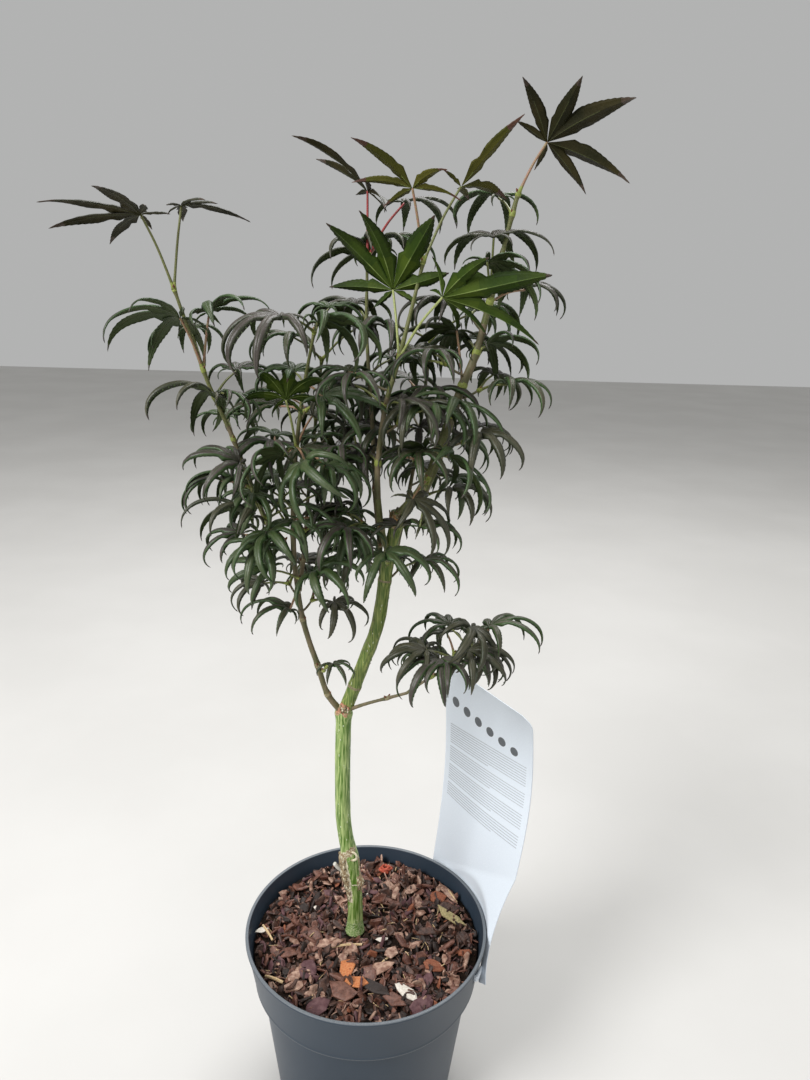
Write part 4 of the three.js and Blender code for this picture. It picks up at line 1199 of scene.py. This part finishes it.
def scattered(rng, radius):
    """A random place on the mulch, and how far out it lies."""
    reach = radius * sqrt(rng.random())
    turn = rng.uniform(0, 2 * pi)
    return reach * cos(turn), reach * sin(turn), reach


def build_chips():
    rng = random.Random("chips")
    chips = Solid()
    for i in range(CHIPS + CRUMBS):
        x, y, reach = scattered(rng, MULCH_EDGE - 1)
        if i < CHIPS:
            size = min(max(rng.lognormvariate(*CHIP_SIZES), CHIP_LEAST), CHIP_MOST)
        else:
            size = rng.uniform(*CRUMB_SIZES)
        from_trunk = hypot(x - TRUNK_FOOT[0], y - TRUNK_FOOT[1])
        if from_trunk < TRUNK_RADIUS + ROOT_FLARE + size * 0.5 or reach + size > MULCH_EDGE + 0.5:
            continue
        layer = rng.uniform(*CHIP_LAYERS)
        z = ground_height(x, y) + layer + 0.12 * size
        # Low chips are darker: painted shade in the gaps
        kinds = CHIP_KINDS if layer > DEEP_LAYER else LOW_SHADED_KINDS
        slot_name = rng.choices(list(kinds), list(kinds.values()))[0]
        if slot_name in BRIGHT_BITS:
            size = min(size, BRIGHT_SIZE)
        chip(chips, (x, y, z), size, slot_name, rng)
    for _ in range(STRAWS):
        x, y, _ = scattered(rng, STRAW_REACH)
        way = direction(rng.uniform(0, 360), rng.uniform(-5, 25))
        length = rng.uniform(3, 11)
        start = np.array([x, y, ground_height(x, y) + 2.4])
        sag = np.array([rng.uniform(-1, 1), rng.uniform(-1, 1), 0.6]) * length * 0.1
        if hypot(x - TRUNK_FOOT[0], y - TRUNK_FOOT[1]) > STRAW_CLEAR:
            path = [start - way * length / 2, start + sag, start + way * length / 2]
            radius = rng.uniform(0.18, 0.4)
            tube(chips, path, even(radius), plain(rng.choice(["straw", "bark_tan"])), sides=5, step=3)
    for x, y, size, long, spin, slot_name in LARGE_BITS:
        at = (x, y, ground_height(x, y) + LARGE_LIFT)
        chip(chips, at, size * LARGE_SCALE, slot_name, rng, long, LARGE_FLATNESS, spin, 0.1)
    for *spots, radius in STRAW_STICKS:
        start, end = (np.array([x, y, ground_height(x, y) + 4.2]) for x, y in spots)
        path = [start, (start + end) / 2 + (0, 0, STICK_ARCH), end]
        tube(chips, path, even(radius), plain("straw"), sides=7, step=2)
    # A curled dry red leaf with its stalk
    centre = np.array([*CURL_PLACE, ground_height(*CURL_PLACE) + 6])
    for k in range(3):
        curl = [centre + ((5 - k) * cos(t + k), (3 - 0.5 * k) * sin(t + k), 1.5 * k - 1 + sin(2 * t))
                for t in np.linspace(0, 5.2, 9)]
        tube(chips, curl, even(1.3 - 0.25 * k), plain("dry_red"), sides=8, step=1, relief=1.0,
             grain=(1.2, 1.2))
    stalk = [centre + (-1, -4, -1), centre + (1, -12, 0.5), centre + (5, -21, -3)]
    tube(chips, stalk, even(0.6), plain("bark_tan"), sides=7, step=2)
    chips.build("mulch_chips", None, "mulch", smooth=False)


def rounded(profile, reach=0.6, parts=3):
    """The profile with its inner corners rounded off."""
    smooth = [profile[0]]
    for before, corner, after in zip(profile, profile[1:], profile[2:]):
        back, ahead = np.subtract(before, corner), np.subtract(after, corner)
        cut = min(reach, norm(back) / 2.2, norm(ahead) / 2.2)
        for i in range(parts + 1):
            t = i / parts
            smooth.append(tuple(corner + ((1 - t) ** 2 * unit(back) + t * t * unit(ahead)) * cut))
    smooth.append(profile[-1])
    return smooth


def build_pot():
    """The turned shell, with its drain holes and the slot in its collar cut through."""
    sides = 192
    profile = rounded([
        (0, 0), (BODY_FOOT_RADIUS - 1.5, 0), (BODY_FOOT_RADIUS, 1.5),
        (BODY_TOP_RADIUS - BODY_INSET - 0.5, COLLAR_FOOT_HEIGHT - SHADE_DEPTH),
        (BODY_TOP_RADIUS - BODY_INSET, COLLAR_FOOT_HEIGHT + 1.6),
        (COLLAR_FOOT_RADIUS - 1, COLLAR_FOOT_HEIGHT + 0.2), (COLLAR_FOOT_RADIUS + 0.3, COLLAR_FOOT_HEIGHT),
        (COLLAR_FOOT_RADIUS + 0.5, COLLAR_FOOT_HEIGHT + 1.4),
        (COLLAR_FOOT_RADIUS + 0.4, COLLAR_FOOT_HEIGHT + 3), (RIM_RADIUS - 1, POT_HEIGHT - 3),
        (RIM_RADIUS, POT_HEIGHT - 2.4), (RIM_RADIUS, POT_HEIGHT), (RIM_RADIUS - LIP, POT_HEIGHT),
        (RIM_RADIUS - 1 - WALL, POT_HEIGHT - 3), (COLLAR_FOOT_RADIUS - WALL, COLLAR_FOOT_HEIGHT + 1),
        (BODY_TOP_RADIUS - WALL, COLLAR_FOOT_HEIGHT - 2), (BODY_FOOT_RADIUS - WALL, FLOOR), (0, FLOOR),
    ])
    points = [(0, 0, profile[0][1])]
    for radius, height in profile[1:-1]:
        points += [(x, y, height) for x, y in around(radius, sides)]
    points.append((0, 0, profile[-1][1]))
    rings = len(profile) - 2
    slots = ["pot_plastic"] * sides
    for ring in range(rings - 1):
        (inner, low), (outer, high) = profile[ring + 1], profile[ring + 2]
        outside = ring < rings / 2
        slot_name = "pot_plastic"
        # Painted light: a highlight on the rim's top and along the collar's foot, and the shadow that the
        # collar casts on the body's top
        if min(low, high) > POT_HEIGHT - 0.7:
            slot_name = "pot_lip"
        elif outside and 0 < max(low, high) - COLLAR_FOOT_HEIGHT < 1.5 and outer > BODY_TOP_RADIUS:
            slot_name = "pot_edge"
        elif outside and low > COLLAR_FOOT_HEIGHT - SHADE_DEPTH - 0.7 and inner < BODY_TOP_RADIUS:
            slot_name = "pot_shade"
        slots += [slot_name] * sides
    slots += ["pot_plastic"] * sides
    pot = Solid()
    pot.add(points, turned_faces(sides, rings), slots)
    piece = pot.build("pot_shell", "pot", "pot")
    drills = Solid()
    for i in range(DRAIN_HOLES):
        x, y, _ = direction((i + 0.5) * 360 / DRAIN_HOLES, 0) * DRAIN_CIRCLE
        path = [(x, y, z) for z in (-5, 0, 6)]
        tube(drills, path, even(DRAIN_RADIUS), plain("pot_plastic"), sides=28, step=4)
    way = direction(SLOT_TURN, 0)
    side = np.cross((0, 0, 1), way)
    box = [way * reach + side * across + (0, 0, height)
           for reach in (82, 100) for across in (-SLOT_HALF[0], SLOT_HALF[0])
           for height in (SLOT_HEIGHT - SLOT_HALF[1], SLOT_HEIGHT + SLOT_HALF[1])]
    box_faces = [(0, 1, 3, 2), (4, 6, 7, 5), (0, 4, 5, 1), (2, 3, 7, 6), (0, 2, 6, 4), (1, 5, 7, 3)]
    drills.add(box, box_faces, "pot_plastic")
    cutter = drills.build("cutter", None, "pot")
    modifier = piece.modifiers.new("holes", "BOOLEAN")
    modifier.object = cutter
    modifier.operation = "DIFFERENCE"
    modifier.solver = "EXACT"
    bpy.context.view_layer.update()
    cut = bpy.data.meshes.new_from_object(piece.evaluated_get(bpy.context.evaluated_depsgraph_get()))
    piece.modifiers.clear()
    piece.data = cut
    bpy.data.objects.remove(cutter)
    cut.set_sharp_from_angle(angle=SHARP)


# The care card: its corners as in the solids, its tail led to the collar's slot, a short strap that goes
# into the slot, and plain grey discs and bars, placed as (down, across) parts of the card
CARD_TOP = (np.array([59.2, 95, 333.7]), np.array([123.3, 20, 320.9]))
CARD_FOOT = (np.array([55.9, 89.5, 140.8]), np.array([116.9, 5.5, 190]))
CARD_TAIL = np.array([91, -33, 126])
CARD_CLEAR = 1.6
CARD_THICKNESS = 0.8
CARD_BOW = 7
CARD_TAIL_WIDTH = 0.07
CARD_OUT = np.array([0.82, 0.57, 0])
CARD_CORNER = 0.055
STRAP_FROM = (0.88, 0.5)
STRAP_REACH = (94, 91.6)
STRAP_HALF = (0.45, 1.9)
DISCS = 6
DISC_RADIUS = 4.1
DISC_FIRST = (0.165, 0.13)
DISC_STEP = (0.018, 0.135)
BLOCKS = [9, 7, 7, 6]
BAR_FIRST = (0.285, 0.315)
BAR_LAST = (0.64, 0.86)
BAR_REACH = (0.06, 0.94)
BAR_WIDTH = 0.0045
PATCH_SUNK = 0.2
PATCH_RAISED = 0.08


def card_point(down, beyond, across_part):
    """A place on the card's outer side, clear of the pot: down it, beyond it on the tail, and across."""
    width = CARD_TAIL_WIDTH + (1 - CARD_TAIL_WIDTH) * (1 - beyond) ** 1.5
    across = 0.5 + width * (across_part - 0.5)
    upper = CARD_TOP[0] + (CARD_TOP[1] - CARD_TOP[0]) * across
    lower = CARD_FOOT[0] + (CARD_FOOT[1] - CARD_FOOT[0]) * across
    point = upper + (lower - upper) * down
    middle = (CARD_FOOT[0] + CARD_FOOT[1]) / 2
    point = point + (CARD_TAIL + lower - middle - point) * beyond + CARD_OUT * CARD_BOW * sin(pi * down)
    rise = (min(point[2], POT_HEIGHT) - COLLAR_FOOT_HEIGHT) / (POT_HEIGHT - COLLAR_FOOT_HEIGHT)
    clear = COLLAR_FOOT_RADIUS + (RIM_RADIUS - COLLAR_FOOT_RADIUS) * rise + CARD_CLEAR
    push = max(1, clear / hypot(point[0], point[1]))
    return point * (push, push, 1)


def card_patch(solid, spots, slot_name):
    """A thin patch on the side of the card that faces the plant, with (down, across) spots for its edge."""
    layers = []
    for depth in (CARD_THICKNESS - PATCH_SUNK, CARD_THICKNESS + PATCH_RAISED):
        layers += [card_point(down, 0, across) - CARD_OUT * depth for down, across in spots]
    solid.add(layers, plate_faces(len(spots)), slot_name)


def build_card():
    rng = random.Random("card")
    columns, rows, tail_rows = 24, 60, 30
    rings = [(row / rows, 0) for row in range(rows + 1)]
    rings += [(1, (row + 1) / tail_rows) for row in range(tail_rows)]
    outer = []
    for down, beyond in rings:
        inset = max(0, 1 - down / CARD_CORNER)
        inset = CARD_CORNER * 2 * (1 - sqrt(1 - inset ** 2)) if beyond == 0 else 0
        places = inset + (1 - 2 * inset) * np.arange(columns + 1) / columns
        outer += [card_point(down, beyond, across) for across in places]
    points = outer + [point - CARD_OUT * CARD_THICKNESS for point in outer]
    wide, half, last = columns + 1, len(outer), len(rings) - 1

    def rim(a, b):
        return a, a + half, b + half, b

    faces = []
    for row in range(last):
        for a in range(row * wide, row * wide + columns):
            face = (a, a + 1, a + wide + 1, a + wide)
            faces += [face, flipped([half + i for i in face])]
        left, right = row * wide, row * wide + columns
        faces += [flipped(rim(left, left + wide)), rim(right, right + wide)]
    for column in range(columns):
        foot = last * wide + column
        faces += [rim(column, column + 1), flipped(rim(foot, foot + 1))]
    card = Solid()
    card.add(points, faces, "card_white")
    width = norm(CARD_TOP[1] - CARD_TOP[0])
    height = norm((CARD_TOP[0] + CARD_TOP[1] - CARD_FOOT[0] - CARD_FOOT[1]) / 2)
    for i in range(DISCS):
        down, across = (first + step * i for first, step in zip(DISC_FIRST, DISC_STEP))
        spots = [(down + y / height, across + x / width) for x, y in around(DISC_RADIUS, 20)]
        card_patch(card, spots, "card_dark")
    lines = sum(BLOCKS) + len(BLOCKS) - 1
    line = 0
    for bars in BLOCKS:
        for bar in range(bars):
            left, right = (first + (last - first) * line / lines for first, last in zip(BAR_FIRST, BAR_LAST))
            end = BAR_REACH[1] if bar < bars - 1 else rng.uniform(0.5, 0.8)
            places = np.linspace(BAR_REACH[0], end, 16)
            upper = [(left + (right - left) * across, across) for across in places]
            lower = [(down + BAR_WIDTH, across) for down, across in reversed(upper)]
            card_patch(card, upper + lower, "card_grey")
            line += 1
        line += 1
    strap = [card_point(1, *STRAP_FROM) - CARD_OUT * CARD_THICKNESS / 2]
    strap += [direction(SLOT_TURN, 0) * reach + (0, 0, SLOT_HEIGHT) for reach in STRAP_REACH]
    tube(card, strap, lambda centre, way: STRAP_HALF[0] + STRAP_HALF[1] * abs(way[2]), plain("card_white"),
         sides=16, step=1)
    piece = card.build("blank_care_card", "care_card", "card")
    piece.data.set_sharp_from_angle(angle=SHARP)


build_pot()
build_bed()
build_chips()
build_trunk()
for limb_name, (limb_path, limb_radii, limb_bark) in LIMBS.items():
    build_limb(limb_name, limb_path, limb_radii, limb_bark)
build_card()
rear_draws = seeded(REAR_SEED)
for shoot_name, shoot_form in SHOOTS.items():
    build_shoot(shoot_name, shoot_form, rear_draws)

# A plain pale floor and soft studio light, in metres, and a camera at the photograph's viewing angle
FLOOR_REACH = 6.0
SKY_COLOUR = (0.86, 0.865, 0.86, 1)
SKY_STRENGTH = 0.52
floor_corners = [(x * FLOOR_REACH, y * FLOOR_REACH, 0) for x, y in ((-1, -1), (1, -1), (1, 1), (-1, 1))]
floor_mesh = bpy.data.meshes.new("floor")
floor_mesh.from_pydata(floor_corners, [], [(0, 1, 2, 3)])
floor_mesh.materials.append(MATERIALS["pale_floor"])
floor = placed("floor", floor_mesh)

world = bpy.data.worlds.new("studio")
bpy.context.scene.world = world
world.use_nodes = True
background = world.node_tree.nodes["Background"]
background.inputs["Color"].default_value = SKY_COLOUR
background.inputs["Strength"].default_value = SKY_STRENGTH
bpy.context.scene.view_settings.view_transform = "Standard"


def area_light(name, place, size, power):
    light = bpy.data.lights.new(name, "AREA")
    light.shape = "DISK"
    light.size = size
    light.energy = power
    lamp = placed(name, light)
    lamp.location = place
    lamp.rotation_euler = (Vector(PLANT_MIDDLE) - Vector(place)).to_track_quat("-Z", "Y").to_euler()


PLANT_MIDDLE = (0, 0, 0.42)
area_light("key", (-1.3, -1.1, 1.7), size=1.0, power=46)
area_light("sky", (0.3, 1.0, 2.3), size=1.4, power=38)
area_light("fill", (1.7, -1.3, 1.0), size=1.6, power=4)

CAMERA_PLACE = (22.5, -529.5, 630.0)
CAMERA_PITCH = 16.9
CAMERA_ROLL = 1.5
FOCAL_PIXELS = 811
IMAGE_HEIGHT = 1080
SENSOR = 36
pitch, roll = radians(CAMERA_PITCH), radians(CAMERA_ROLL)
look = Vector((0, cos(pitch), -sin(pitch)))
level_right = Vector((1, 0, 0))
level_up = level_right.cross(look)
image_right = cos(roll) * level_right + sin(roll) * level_up
image_up = -sin(roll) * level_right + cos(roll) * level_up
camera_data = bpy.data.cameras.new("camera")
camera_data.sensor_width = SENSOR
camera_data.lens = FOCAL_PIXELS / IMAGE_HEIGHT * SENSOR
camera = placed("camera", camera_data)
turned = Matrix((image_right, image_up, -look)).transposed().to_4x4()
camera.matrix_world = Matrix.Translation(Vector(CAMERA_PLACE) * MM) @ turned
bpy.context.scene.camera = camera
